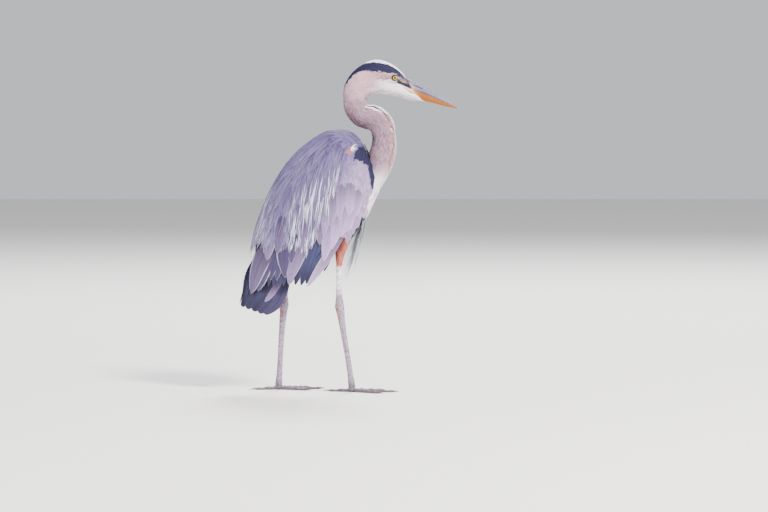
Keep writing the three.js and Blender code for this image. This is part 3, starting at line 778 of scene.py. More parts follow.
def material(name, **fixed):
    """A named material with its Principled shader's even values set on the shader's own sockets."""
    made = bpy.data.materials.new(name)
    made.use_nodes = True
    shader = made.node_tree.nodes["Principled BSDF"]
    sockets = {socket.name.lower().replace(" ", "_"): socket for socket in shader.inputs}
    for key, value in fixed.items():
        sockets[key].default_value = value
    return made, Nodes(made.node_tree), shader


def place_group(n, tree, inputs):
    """Puts a node group into a material with its own values, and gives its outputs."""
    node = n.add("ShaderNodeGroup", node_tree=tree)
    for key, value in inputs.items():
        n.put(node.inputs[key], value)
    return node.outputs


def bump(n, height, strength, distance=MM * 0.3):
    """A normal tilted by the height's slope; distance is how far a height of 1 stands out, in metres."""
    return n.add("ShaderNodeBump", {"Height": height, "Strength": strength, "Distance": distance}).outputs[0]


FEATHER_VANE = feather_vane_group()
LEG_SCALES = scale_group()


def feather_material(name, barbs=26.0, contrast=0.3, shaft=0.25, root_grey_and_painted_shade=0.35, roughness=0.7, sheen=0.02,
                     relief=0.35, fringe=0.62):
    """A soft, nearly matt feather whose colour and fringe come from the mesh and whose barbs come from the
    vane group."""
    made, n, shader = material(name, roughness=roughness, specular_ior_level=0.15, sheen_weight=sheen,
                               sheen_roughness=0.4)
    tint = n.attribute("tint")
    vane = n.attribute("vane")
    out = place_group(n, FEATHER_VANE, {
        "Tint": tint["Color"], "Fringe": tint["Alpha"], "Blade": vane["Vector"], "Barbs": barbs,
        "Contrast": contrast, "Shaft": shaft, "Root Grey And Painted Shade": root_grey_and_painted_shade, "Fringe Start": fringe,
    })
    n.put(shader.inputs["Base Color"], out["Color"])
    n.put(shader.inputs["Normal"], bump(n, out["Height"], relief))
    return made


# ------------------------------------------------------------------ camera, floor and light
FRAME_WIDTH, FRAME_HEIGHT = 768, 512
PIXEL = 2.25  # millimetres of the bird to a pixel of the frame
ORIGIN = (348, 391)  # the pixel at which the bird's own lines have their zero
SENSOR = 36.0


def stand_camera():
    """Level with the bird's middle and a long way off, so the view is nearly flat: the lens is as much
    longer than the sensor is wide as the distance is longer than the frame at the bird."""
    distance, lift = 10.0, np.radians(2.5)
    aim = place([(FRAME_WIDTH / 2 - ORIGIN[0]) * PIXEL, 0, (ORIGIN[1] - FRAME_HEIGHT / 2) * PIXEL])
    data = bpy.data.cameras.new("camera")
    data.sensor_width = SENSOR
    data.lens = SENSOR * distance / (FRAME_WIDTH * PIXEL * MM)
    data.clip_end = 100
    camera = bpy.data.objects.new("camera", data)
    bpy.context.scene.collection.objects.link(camera)
    camera.location = aim + distance * np.array([0, -np.cos(lift), np.sin(lift)])
    camera.rotation_euler = (np.pi / 2 - lift, 0, 0)
    bpy.context.scene.camera = camera


def softbox(name, place_at, aim_at, size, power, colour):
    """A round lamp of that size in metres, turned to face the aim."""
    data = bpy.data.lights.new(name, "AREA")
    data.shape, data.size, data.energy, data.color = "DISK", size, power, colour
    lamp = bpy.data.objects.new(name, data)
    bpy.context.scene.collection.objects.link(lamp)
    lamp.location = place_at
    lamp.rotation_euler = (Vector(aim_at) - Vector(place_at)).to_track_quat("-Z", "Y").to_euler()


def light_studio():
    """Four soft lamps round the bird's middle and a pale even sky."""
    middle = (0, 0, 0.4)
    softbox("key", (3.6, -4.4, 5.2), middle, 1.5, 1500, (1.0, 0.96, 0.91))
    softbox("fill", (-5.0, -5.4, 2.4), middle, 4.0, 420, (0.92, 0.95, 1.0))
    softbox("rim", (1.0, 5.0, 5.0), middle, 2.4, 900, (1.0, 0.98, 0.96))
    softbox("front", (5.4, -0.6, 1.4), middle, 2.0, 220, (1.0, 0.98, 0.96))
    world = bpy.data.worlds.new("studio")
    world.use_nodes = True
    world.node_tree.nodes["Background"].inputs["Color"].default_value = (0.86, 0.88, 0.92, 1)
    world.node_tree.nodes["Background"].inputs["Strength"].default_value = 0.8
    bpy.context.scene.world = world


def lay_floor():
    """A square at height 0 that reaches 14 m each way."""
    corners = np.array([[-14, -14, 0], [14, -14, 0], [14, 14, 0], [-14, 14, 0]], float)
    mesh = bpy.data.meshes.new("floor")
    mesh.from_pydata(corners.tolist(), [], [(0, 1, 2, 3)])
    floor = bpy.data.objects.new("floor", mesh)
    bpy.context.scene.collection.objects.link(floor)
    made, _, shader = material("pale_floor", roughness=0.85, specular_ior_level=0.2)
    shader.inputs["Base Color"].default_value = (0.72, 0.71, 0.7, 1)
    mesh.materials.append(made)


# ------------------------------------------------------------------ skin
TORSO_VOXEL, LEG_VOXEL = 0.0042, 0.00115  # metres


def coat_depth(s):
    """How deep the skin lies under the coat, in millimetres, at section s of the head and neck."""
    return np.interp(s, [0, 1, 2, 4, 6, 9, 15, 18, 21], [0.15, 0.8, 1.0, 1.3, 1.7, 2.0, 3.0, 6.0, 8.5])


def head_and_neck():
    """The head, neck and breast as one tube, finest round the eyes, where it sinks into a socket with a
    raised lid: a push along the surface that depends on the distance from the eye's axis."""
    s = np.concatenate([np.linspace(-0.03, 4, 96), np.linspace(4, 7, 34)[1:], np.linspace(7, 21, 110)[1:]])
    angle = np.arange(128) * 360 / 128
    grid_s, grid_b = pairs(s, angle)
    points = body(grid_s, grid_b, coat_depth(grid_s))
    for side in SIDES.values():
        eye = EYE * [1, side, 1]
        off = points - eye
        near = np.exp(-np.maximum(side * -points[..., 1], 0) ** 2)
        radius = np.hypot(off[..., 0], off[..., 2])
        socket = -4.5 * (1 - smooth(radius, 4.0, 6.3))
        lid = 1.5 * np.exp(-((radius - 7.0) / 1.15) ** 2)
        brow = 1.3 * np.exp(-((off[..., 0] + 1) / 12) ** 2 - ((off[..., 2] - 10) / 4.0) ** 2)
        level = off[..., 2] + 9 + 0.25 * off[..., 0]
        lore = -1.3 * np.exp(-((off[..., 0] - 17) / 11) ** 2 - (level / 4.5) ** 2)
        on_side = (side * points[..., 1] > 4) * near
        points[..., 1] += side * on_side * (socket + lid + brow + lore)
    return closed_tube(points)


def torso():
    """Trunk and the arms folded on it: the trunk's tube with a thick cloak over it, made one by remeshing."""
    a, b = pairs(np.linspace(-0.35, 10, 64), np.arange(64) * 360 / 64)
    parts = [closed_tube(trunk(a, b, trunk_depth(a)))]
    v, angle = pairs(np.linspace(0.03, 0.8, 50), np.linspace(-100, 100, 60))
    sunk = (1 - smooth(v, 0.03, 0.17))[..., None] * [-5.0, 0, -4.0]
    outer = cloak(v, angle, mix(6.5, 4.0, v)) + sunk
    inner = cloak(v, angle, mix(20.0, 13.0, smooth(v, 0.3, 0.8))) + sunk
    parts.append(slab(outer, inner))
    co, tri = joined(parts)
    piece = make_mesh("torso", co, tri)
    return modified(piece, ("REMESH", dict(mode="VOXEL", voxel_size=TORSO_VOXEL, use_smooth_shade=True)),
                    ("SMOOTH", dict(factor=0.5, iterations=6)))


def trunk_depth(a):
    """The trunk's skin lies 7 mm down and rounds off to nothing at its front."""
    return 7 + 26 * (1 - smooth(a, -0.5, 0.6)) ** 2


def slab(front, rear):
    """Closed surface between two grids of points that share their layout: both grids and a strip that joins
    their borders."""
    rows, columns = front.shape[:2]
    co = np.concatenate([front.reshape(-1, 3), rear.reshape(-1, 3)])
    i, j = pairs(np.arange(rows - 1), np.arange(columns - 1))
    a = (i * columns + j).ravel()
    quads = np.stack([a, a + 1, a + columns + 1, a + columns], -1)
    other = rows * columns
    edge = np.concatenate([
        np.arange(columns), np.arange(1, rows) * columns + columns - 1,
        (rows - 1) * columns + np.arange(columns - 2, -1, -1), np.arange(rows - 2, 0, -1) * columns,
    ])
    after = np.roll(edge, -1)
    rim = np.stack([after, edge, edge + other, after + other], -1)
    quads = np.concatenate([quads, quads[:, ::-1] + other, rim])
    tri = np.concatenate([quads[:, [0, 1, 2]], quads[:, [0, 2, 3]]])
    return co, turned_outward(co, tri)


def toe_heading(name, toe):
    """The toe's bearing in radians, anticlockwise from straight ahead."""
    return np.radians(SIDES[name] * (TOE_OUT - TOE_SPREAD[toe]))


TOE_RADIUS = 4.3
FOOT_RADIUS = 8.5
TOE_JOINTS = {"hind": 2, "inner": 3, "middle": 4, "outer": 5}


def floor_tube(hub, heading, reach, high, radius, sides, flat=1.0, least=0.0):
    """A tube out from the hub on a bearing: at each place it is reach ahead and high above the floor, an
    ellipse of that radius upwards and flat times it sideways, and no point lies lower than least."""
    turn = np.arange(sides) * 2 * np.pi / sides
    ahead = np.array([np.cos(heading), np.sin(heading), 0])
    across = np.array([-np.sin(heading), np.cos(heading), 0])
    centre = hub * [1, 1, 0] + ahead * reach[:, None] + [0, 0, 1] * high[:, None]
    ring = across * (flat * radius[:, None] * np.cos(turn))[..., None]
    ring = ring + [0, 0, 1] * (radius[:, None] * np.sin(turn))[..., None]
    points = centre[:, None] + ring
    points[..., 2] = np.maximum(points[..., 2], least)
    return closed_tube(points)


def toe_tube(hub, heading, length, bones):
    """A toe along the floor: it narrows to its tip and swells at each joint."""
    share = np.linspace(0, 1, 60)
    swell = 1 + 0.13 * np.cos(2 * np.pi * bones * share)
    radius = TOE_RADIUS * mix(1, 0.66, share) * swell
    high = radius * 0.8 + 1.5 * (1 - share) ** 3
    return floor_tube(hub, heading, mix(2, length, share), high, radius, 20)


def leg(name):
    """Shin, ankle, tarsus and toes run together and remeshed finely, so the foot has no creases."""
    hub = np.array(TARSI[name][-1], float)
    parts = []
    for surface, share, ankle, sunk in ((shins[name], np.linspace(0.1, 1, 90), 0.97, 4.5),
                                        (tarsi[name], np.linspace(-0.02, 1, 110), 0.02, 0.0)):
        a, b = pairs(share, np.arange(28) * 360 / 28)
        tube = surface(a, b, mix(sunk, 0.0, smooth(a, 0.4, BARE)))
        # The ankle is knobbly: a boss on each side of it.
        knob = np.exp(-((share - ankle) / 0.035) ** 2)[:, None]
        tube[..., 1] += 1.2 * knob * np.sin(np.radians(b)) ** 3
        parts.append(closed_tube(tube))
    # The ball of the foot, cut flat by the floor.
    tilt, turn = pairs(np.linspace(0.05, np.pi - 0.05, 16), np.arange(24) * 2 * np.pi / 24)
    out = np.sin(tilt)
    ball = FOOT_RADIUS * np.stack([out * np.cos(turn), out * np.sin(turn), np.cos(tilt)], -1)
    ball = ball + [hub[0], hub[1], 6.5]
    ball[..., 2] = np.maximum(ball[..., 2], 0)
    parts.append(closed_tube(ball))
    for toe, length in TOE_LENGTHS.items():
        parts.append(toe_tube(hub, toe_heading(name, toe), length, TOE_JOINTS[toe]))
    piece = make_mesh("leg_" + name, *joined(parts))
    modified(piece, ("REMESH", dict(mode="VOXEL", voxel_size=LEG_VOXEL, use_smooth_shade=True)),
             ("SMOOTH", dict(factor=0.5, iterations=5)))
    co = vertices_of(piece.data)
    floor = co[:, 2].min()
    co[:, 2] -= floor * (1 - smooth(co[:, 2], 0, 14))
    set_vertices(piece.data, ridged(co, name, hub))
    return piece


def tarsus_middle(name, z):
    """The middle of the tarsus at height z: its run goes from 190 mm down to 12 mm in three equal steps."""
    return curve(TARSI[name], (190 - z) / 178 * 3)


def ridged(co, name, hub):
    """Cross plates: on the toes a low rise that repeats every 2.6 mm of the way, and down the front of the
    tarsus a step that repeats every 5.6 mm of height."""
    lifted = co.copy()
    for toe, length in TOE_LENGTHS.items():
        heading = toe_heading(name, toe)
        off = co - hub
        ahead = off[:, 0] * np.cos(heading) + off[:, 1] * np.sin(heading)
        aside = -off[:, 0] * np.sin(heading) + off[:, 1] * np.cos(heading)
        on_top = smooth(co[:, 2], 2.5, 5) * (1 - smooth(co[:, 2], 9, 12))
        here = (np.abs(aside) < 5) * (ahead > 8) * (ahead < length) * on_top
        phase = (ahead / 2.6) % 1
        plate = np.sqrt(np.clip(4 * phase * (1 - phase), 0, 1))
        lifted[:, 2] += here * 0.32 * plate * (1 - smooth(np.abs(aside), 2, 4))
    # Broad plates down the front of the tarsus, each lapping the next.
    axis = tarsus_middle(name, co[:, 2])
    front = smooth(co[:, 0] - axis[:, 0], 2.5, 5) * (np.abs(co[:, 1] - axis[:, 1]) < 12)
    rise = ((co[:, 2] + 1.5 * np.sin(co[:, 2] * 0.11)) / 5.6) % 1
    between = smooth(co[:, 2], 16, 22) * (1 - smooth(co[:, 2], 168, 178))
    lifted[:, 0] += front * between * 0.5 * (1 - rise) ** 0.7
    return lifted


def skin_colour(co):
    """The coat's markings on the skin below it, by which part is nearest; alpha is 1 on the bare legs."""
    s = np.linspace(0, 21, 211)
    line = body(s, 90 + 0 * s) * [1, 0, 1]
    gap = ((co[:, None, [0, 2]] - line[None, :, [0, 2]]) ** 2).sum(-1)
    nearest = gap.argmin(1)
    at = s[nearest]
    row = curve(BODY, at)
    up = row[:, 0:2] - row[:, 2:4]
    off = co[:, [0, 2]] - (row[:, 0:2] + row[:, 2:4]) / 2
    high = (off * up).sum(-1) / (up ** 2).sum(-1) * 2
    turn = np.degrees(np.arctan2(co[:, 1] / row[:, 4], high))
    colour = body_colour(co, at, turn)
    # Bare face before the eye, orange skin behind the lower bill, and the dark rim of the eye.
    for side in SIDES.values():
        off = co - EYE * [1, side, 1]
        here = side * co[:, 1] > 0
        colour = over(colour, lore_colour(off), here * lore_mask(off))
        cream = smooth(off[:, 2] + 20 + 0.42 * (off[:, 0] - 18), -6.5, 0)
        flesh = over(ORANGE_SKIN, CREAM_SKIN, cream) * (1 + 0.1 * wander(co, 2.5, 23))[:, None]
        colour = over(colour, flesh, here * gape_mask(off))
        ring = np.hypot(off[:, 0], off[:, 2])
        rim = (1 - smooth(ring, 7.6, 9.0)) * here
        colour = over(colour, EYELID, 0.85 * rim)
        dark_rim = (1 - smooth(ring, 6.2, 7.4)) * here
        colour = over(colour, EYE_RIM, dark_rim)
    # Belly, then back, shoulder and thigh by where they are.
    below = smooth(-(co[:, 2] - 500), 0, 40) * (co[:, 0] < 20)
    colour = over(colour, trunk_colour(co), below)
    back = (co[:, 2] > 430) * (co[:, 0] < np.where(co[:, 2] < 575, 47, 30)) * (co[:, 2] < 600)
    colour = np.where((back > 0)[:, None], MANTLE, colour)
    shoulder = (back > 0) * (np.abs(co[:, 1]) > 24) * (co[:, 0] > 30) * (co[:, 2] < 553)
    colour = np.where((shoulder > 0)[:, None], SHOULDER_BLACK, colour)
    thigh = (co[:, 2] < 350) * (co[:, 2] > 270) * (np.abs(co[:, 0] + 18) < 24) * (co[:, 1] < -15)
    colour = np.where((thigh > 0)[:, None], RUST, colour)
    # Bare legs: pale shins, orange behind and under the ankle, darker toes.
    bare = 1 - smooth(co[:, 2], 268, 290)
    tone = over(TOE, LEG, smooth(co[:, 2], 4, 40))
    tone = over(tone, LEG_PALE, smooth(co[:, 2], 205, 250))
    for name in SIDES:
        centre = tarsus_middle(name, co[:, 2])
        behind = smooth(centre[:, 0] - co[:, 0], 1, 6) * (np.abs(co[:, 1] - centre[:, 1]) < 20)
        orange = behind * smooth(co[:, 2], 130, 172) * (1 - smooth(co[:, 2], 184, 200))
        tone = over(tone, ANKLE_ORANGE, 0.75 * orange)
    patchy = np.clip(0.16 * wander(co, 8, 21) + 0.1 * wander(co, 3.5, 22), -0.2, 0.3)
    colour = over(colour, tone * (1 - patchy)[:, None], bare)
    return np.concatenate([colour, bare[:, None]], 1)


def lore_colour(off):
    """The bare strip is grey with a pale yellow spot and a dark line along its foot."""
    level = off[:, 2] + 1.0 + 0.36 * off[:, 0]
    spot = np.exp(-((off[:, 0] - 20) / 6.5) ** 2 - (level / 1.9) ** 2)
    dark = np.exp(-((off[:, 2] + 8.2 + 0.31 * off[:, 0]) / 2.2) ** 2) * smooth(off[:, 0], -4, 4)
    return over(over(LORE, LORE_PALE, spot), CROWN, 0.8 * dark)


def lore_mask(off):
    """1 on the bare strip between the eye and the bill, from the offset to the eye."""
    middle = -7.0 - 0.38 * (off[..., 0] - 8)
    width = np.interp(off[..., 0], [3, 12, 30], [5, 5.5, 6.5])
    return (1 - smooth(np.abs(off[..., 2] - middle), width - 2, width + 1)) * smooth(off[..., 0], 4, 8)


def gape_mask(off):
    """1 on the bare orange skin behind the lower bill, a wedge that opens forward from the mouth's corner."""
    top = np.interp(off[..., 0], [18, 21, 42], [-20, -20.5, -25.2])
    foot = np.interp(off[..., 0], [18, 21, 33, 48], [-22, -23.5, -33, -38])
    return smooth(off[..., 2] - foot, -1, 1) * smooth(top - off[..., 2], -1, 1) * smooth(off[..., 0], 18, 21)


def skin_material():
    """Plain skin under the coat, and the leg's plates where the tint's alpha is 1."""
    made, n, shader = material("skin", specular_ior_level=0.35, subsurface_weight=0.0)
    tint = n.attribute("tint")
    where = n.place()
    scales = place_group(n, LEG_SCALES, {"Vector": where, "Size": 540.0, "Speckle": 0.52})
    fine = n.noise(where, 900.0, 3.0)
    plain = n.ramp(fine, 0.2, 0.8, 0.86, 1.08)
    tone = n.plus(n.times(scales["Tone"], tint["Alpha"]), n.times(plain, n.minus(1.0, tint["Alpha"])))
    n.put(shader.inputs["Base Color"], n.blend(1.0, tint["Color"], n.grey(tone), "MULTIPLY"))
    n.put(shader.inputs["Roughness"], n.ramp(scales["Tone"], 0.4, 1.0, 0.62, 0.42))
    height = n.plus(n.times(scales["Height"], tint["Alpha"]), n.times(fine, 0.25))
    n.put(shader.inputs["Normal"], bump(n, height, 0.6, 0.0004))
    return made


FLESH = ["head", "neck_upper", "neck_middle", "neck_lower", "trunk"]
FLESH += [f"{part}_{name}" for part in ("thigh", "shank", "tarsus") for name in SIDES]
FLESH += [f"toe_{name}_{toe}" for name in SIDES for toe in TOE_LENGTHS]


def make_skin():
    """One closed surface: the union of head and neck, trunk with arms, and both legs."""
    skin = make_mesh("skin", *head_and_neck())
    helpers = [torso()] + [leg(name) for name in SIDES]
    unions = [("BOOLEAN", dict(operation="UNION", solver="MANIFOLD", object=helper)) for helper in helpers]
    modified(skin, *unions)
    for helper in helpers:
        mesh = helper.data
        bpy.data.objects.remove(helper)
        bpy.data.meshes.remove(mesh)
    mesh = skin.data
    for old in list(mesh.attributes):
        if old.name in ("tint", "vane"):
            mesh.attributes.remove(old)
    layer = mesh.attributes.new("tint", "FLOAT_COLOR", "POINT")
    layer.data.foreach_set("color", skin_colour(vertices_of(mesh)).astype(np.float32).ravel())
    mesh.polygons.foreach_set("use_smooth", np.ones(len(mesh.polygons), bool))
    finish_piece(skin, skin_material(), FLESH)


# ------------------------------------------------------------------ eyes
def eye_material():
    """Yellow iris with fine rays and a dark rim round a black pupil; the place on the ball is the angle
    from its front, kept in the blade attribute."""
    made, n, shader = material("eye", roughness=0.12, coat_weight=0.3, coat_roughness=0.03,
                               specular_ior_level=0.4)
    vane = n.attribute("vane")["Vector"]
    split = n.add("ShaderNodeSeparateXYZ", {0: vane}).outputs
    off, turn = split[0], split[1]
    rays = n.noise(n.vector(n.times(turn, 30.0), n.times(off, 2.0)), 1.0, 3.0)
    inner = n.blend(n.ramp(off, 15, 36), paint(184, 144, 0), paint(116, 94, 4))
    iris = n.blend(n.ramp(rays, 0.35, 0.75, 0.0, 0.45), inner, paint(120, 74, 6))
    iris = n.blend(n.ramp(off, 32, 38), iris, paint(24, 16, 8))
    colour = n.blend(n.ramp(off, 16.6, 17.8), paint(6, 5, 5), iris)
    n.put(shader.inputs["Base Color"], colour)
    return made


def make_eyes():
    """Balls of latitude rings round the gaze, with a low swell over the iris."""
    finish = eye_material()
    for name, side in SIDES.items():
        gaze = unit(np.array([0.13, side, 0.0]))
        right = unit(np.cross(gaze, [0, 0, 1]))
        high = np.cross(right, gaze)
        off = np.radians(np.concatenate([np.linspace(0.5, 50, 46), np.linspace(55, 178, 20)]))
        turn = np.arange(64) * 2 * np.pi / 64
        radius = EYE_RADIUS - 0.25 + 0.45 * np.exp(-(off / 0.55) ** 2)
        ring = np.cos(turn)[:, None] * right + np.sin(turn)[:, None] * high
        way = np.cos(off)[:, None, None] * gaze + np.sin(off)[:, None, None] * ring
        co, tri = closed_tube(radius[:, None, None] * way + EYE * [1, side, 1])
        vane = np.zeros((len(off), len(turn), 3))
        vane[..., 0] = np.degrees(off)[:, None]
        vane[..., 1] = np.abs(turn - np.pi)
        vane = np.concatenate([vane.reshape(-1, 3), [[0, 0, 0], [180, 0, 0]]])
        finish_piece(make_mesh("eyeball_" + name, co, tri, vane=vane), finish, ["eye_" + name])


# ------------------------------------------------------------------ bill
UPPER_BILL = np.array([
    [130.4, 704.1, 145.6, 678.8, 10.5], [153, 693, 162, 672.3, 9], [180, 678.3, 187, 662.3, 7],
    [207, 663, 212, 652.4, 4.8], [230, 649.6, 232.5, 643.8, 2.8], [244, 640.4, 245, 638.3, 1.1],
    [249.5, 637.4, 249.5, 636.8, 0.3],
], float)
LOWER_BILL = np.array([
    [160.2, 654.6, 146.5, 677.6, 9.6], [172, 651.6, 163, 671.5, 8.3], [192.5, 647.1, 187, 661.6, 6.3],
    [214, 641.4, 212, 651.7, 4.3], [232.5, 637.7, 232.5, 643.2, 2.4], [243.5, 635.9, 243.5, 637.6, 1],
    [248, 634.9, 248, 635.5, 0.3],
], float)


def half_bill(sections, groove, finish, name):
    """A ridge over the mouth line: at each place the outline is cos^0.9 of the angle up the ridge and sin of
    it to the side, and groove(share, angle) pushes it in. The mouth side is closed flat."""
    at = np.linspace(0, len(sections) - 1, 130)
    share = at / at[-1]
    angle = np.linspace(-90, 90, 49)
    row = curve(sections, at)
    ridge, mouth = row[:, 0:2], row[:, 2:4]
    turn = np.radians(angle)
    inward = 1 - groove(share[:, None], angle[None])
    high = np.cos(turn) ** 0.9 * inward
    wide = np.sin(turn) * inward * row[:, 4:5]
    plane = mouth[:, None] + (ridge - mouth)[:, None] * high[..., None]
    points = np.stack([plane[..., 0], wide, plane[..., 1]], -1)
    # One more ring, smaller and a little further back, tucks the horn into the face.
    backwards = unit((mouth[3] - mouth[0]) @ [[1, 0, 0], [0, 0, 1]])
    tucked = mix(points[0], points[0].mean(0), 0.14) - 1.6 * backwards
    points = np.concatenate([tucked[None], points])
    share = np.append(0, share)
    vane = np.empty(points.shape)
    vane[..., 0], vane[..., 1], vane[..., 2] = share[:, None], angle / 90, 0
    co, tri = closed_tube(points)
    vane = np.concatenate([vane.reshape(-1, 3), [[0, 0, 0], [1, 0, 0]]])
    piece = make_mesh(name, co, tri, vane=vane, sharp=0.9)
    finish_piece(piece, finish, [name.replace("_horn", "")])


def upper_groove(share, angle):
    """A groove from the base along the upper third, with the slit of the nostril in it."""
    away = np.abs(angle)
    line = np.exp(-((away - 52) / 9.0) ** 2) * (1 - smooth(share, 0.45, 0.75)) * smooth(share, 0.02, 0.08)
    slit = np.exp(-((away - 56) / 4.0) ** 2) * np.exp(-((share - 0.17) / 0.055) ** 4)
    lip = np.exp(-((away - 86) / 5.0) ** 2) * 0.03
    return 0.1 * line + 0.2 * slit - lip


def lower_groove(share, angle):
    """A long hollow along the side and a cleft under the chin end."""
    away = np.abs(angle)
    hollow = np.exp(-((away - 48) / 14.0) ** 2) * smooth(share, 0.02, 0.15) * (1 - smooth(share, 0.5, 0.9))
    cleft = np.exp(-(away / 7.0) ** 2) * (1 - smooth(share, 0.12, 0.35))
    return 0.05 * hollow + 0.1 * cleft


def bill_group():
    """Long growth lines along the horn; Place runs (along, around)."""
    n, given, end = group("horn_lines", [("Place", "Vector", None), ("Object", "Vector", None)],
                          [("Tone", "Float"), ("Height", "Float")])
    stretched = n.add("ShaderNodeMapping", {"Vector": given["Place"], "Scale": (5.0, 16.0, 1.0)}).outputs[0]
    lines = n.noise(stretched, 1.0, 5.0, 0.6)
    speck = n.noise(given["Object"], 700.0, 2.0)
    n.put(end.inputs["Tone"], n.plus(n.times(lines, 0.75), n.times(speck, 0.25)))
    n.put(end.inputs["Height"], lines)
    return n.tree


def bill_material(name, build):
    """Horn with growth lines; build gives its colour from the places along and away from the ridge."""
    made, n, shader = material(name, specular_ior_level=0.35, coat_weight=0.06, coat_roughness=0.3)
    vane = n.attribute("vane")["Vector"]
    split = n.add("ShaderNodeSeparateXYZ", {0: vane}).outputs
    where = n.place()
    horn = place_group(n, HORN_LINES, {"Place": vane, "Object": where})
    n.put(shader.inputs["Base Color"], build(n, split[0], n.maths("ABSOLUTE", split[1]), horn["Tone"]))
    n.put(shader.inputs["Roughness"], n.ramp(horn["Tone"], 0.3, 0.7, 0.34, 0.5))
    n.put(shader.inputs["Normal"], bump(n, horn["Height"], 0.35, 0.0003))
    return made


def upper_bill_colour(n, along, away, tone):
    """Dusky horn, dark in the groove and along the cutting edge, paler at its foot and its tip."""
    grey = n.blend(n.ramp(tone, 0.35, 0.65), paint(46, 38, 62), paint(112, 98, 134))
    dusk = n.blend(n.times(n.ramp(away, 0.30, 0.05), 0.7), grey, paint(50, 43, 62))
    groove = n.times(n.times(n.ramp(away, 0.5, 0.6), n.ramp(away, 0.76, 0.64)), n.ramp(along, 0.75, 0.3))
    dusk = n.blend(n.times(groove, 0.65), dusk, paint(36, 31, 46))
    edge = n.times(n.ramp(away, 0.84, 0.93), n.ramp(along, 0.12, 0.3))
    dusk = n.blend(n.times(edge, 0.75), dusk, paint(60, 26, 28))
    pale_base = n.times(n.ramp(along, 0.14, 0.0), n.ramp(away, 0.55, 0.95))
    dusk = n.blend(n.times(pale_base, 0.8), dusk, paint(176, 136, 108))
    return n.blend(n.ramp(along, 0.86, 0.99), dusk, paint(176, 148, 140))


def lower_bill_colour(n, along, away, tone):
    """Orange horn, browner along the keel and paler at its foot and its tip."""
    orange = n.blend(n.ramp(tone, 0.35, 0.7), paint(120, 58, 0), paint(160, 94, 0))
    base = n.blend(n.ramp(along, 0.0, 0.16), paint(172, 108, 46), orange)
    under = n.blend(n.ramp(away, 0.3, 0.0, 0.0, 0.5), base, paint(96, 54, 18))
    return n.blend(n.ramp(along, 0.85, 0.98), under, paint(160, 118, 90))


HORN_LINES = bill_group()


def make_bill():
    """The upper half, then the lower one."""
    for half, sections, groove, colour in (("upper", UPPER_BILL, upper_groove, upper_bill_colour),
                                           ("lower", LOWER_BILL, lower_groove, lower_bill_colour)):
        slot_name = half + "_bill"
        half_bill(sections, groove, bill_material(slot_name, colour), f"bill_{half}_horn")


# ------------------------------------------------------------------ claws
def make_claws():
    """Curved cones: the centre arches up and comes down to the floor while the radius closes to a point."""
    made, n, shader = material("claw", specular_ior_level=0.5)
    where = n.place()
    lines = n.noise(where, 420.0, 3.0)
    horn = n.blend(n.ramp(lines, 0.35, 0.7), paint(40, 34, 38), paint(96, 84, 84))
    n.put(shader.inputs["Base Color"], horn)
    n.put(shader.inputs["Roughness"], n.ramp(lines, 0.3, 0.7, 0.3, 0.48))
    share = np.linspace(0, 1, 30)
    radius = mix(2.3, 0.2, share ** 1.2)
    high = 2.6 + 1.3 * np.sin(np.pi * share * 0.9) - 2.1 * share
    for name in SIDES:
        hub = np.array(TARSI[name][-1], float)
        parts = []
        for toe, length in TOE_LENGTHS.items():
            reach = length - 1.2 + (CLAW_LENGTHS[toe] + 1.2) * share
            parts.append(floor_tube(hub, toe_heading(name, toe), reach, high, radius, 16, 0.8, 0.05))
        piece = make_mesh("claws_" + name, *joined(parts))
        finish_piece(piece, made, [f"claw_{name}_{toe}" for toe in TOE_LENGTHS])


# ------------------------------------------------------------------ the coat, tract by tract
def eye_offset(points):
    """From the centre of the eye on the point's own side."""
    return points - EYE * np.stack([np.ones(len(points)), np.sign(points[:, 1]), np.ones(len(points))], -1)


def graded(places, values):
    """A function of (a, b) that runs through these values at these places of a."""
    return lambda a, b: np.interp(a, places, values)


def soft_tract(surface, span, turns, count, length, width, rows, depth, tip_depth, colour, keep=None,
               flow=None, sway=0.12, shape=None, fringe=0.0, lighter=0.1, steps=(1e-3, 0.2), **more):
    """Small feathers all over a stretch of a surface. length, width, depth and tip_depth are numbers or
    functions of (a, b), and colour takes the points, a and b where each feather shows. Sizes vary a little
    at random."""
    a, b = scatter(surface, span, turns, count, keep)
    n = len(a)

    def here(given):
        """The given number, or the function's value at each root."""
        return given(a, b) if callable(given) else given

    long = here(length) * RNG.uniform(0.82, 1.2, n)
    wide = here(width) * RNG.uniform(0.82, 1.18, n)
    deep, high = here(depth), here(tip_depth) + RNG.uniform(-0.3, 0.3, n)
    spine, normal, path = lay(surface, a, b, long, rows, deep, high, flow=flow, sway=RNG.normal(0, sway, n),
                              steps=steps)
    base = colour(*seen_place(surface, path))
    # Dark feathers get neither a paler tip nor a fringe.
    light = base.mean(1)
    tip = over(base, WHITE, lighter * RNG.random(n) * (light > 0.1))
    pale = fringe * (light > 0.12)
    return blades(spine, normal, wide, shape or CONTOUR, chart_of(a, b, span, turns), base, tip, pale, **more)


def streaked(base, share, ink, strength=0.85):
    """Some of the feathers, picked at random with the given share, take the ink colour."""
    picked = RNG.random(len(base)) < share
    return np.where(picked[:, None], mix(base, ink, strength), base)


def varied(base, spread):
    """Each feather a little lighter or darker than the next: by the spread times a normal random number
    that is held between -2 and 2."""
    return base * (1 + spread * RNG.standard_normal(len(base)).clip(-2, 2))[:, None]


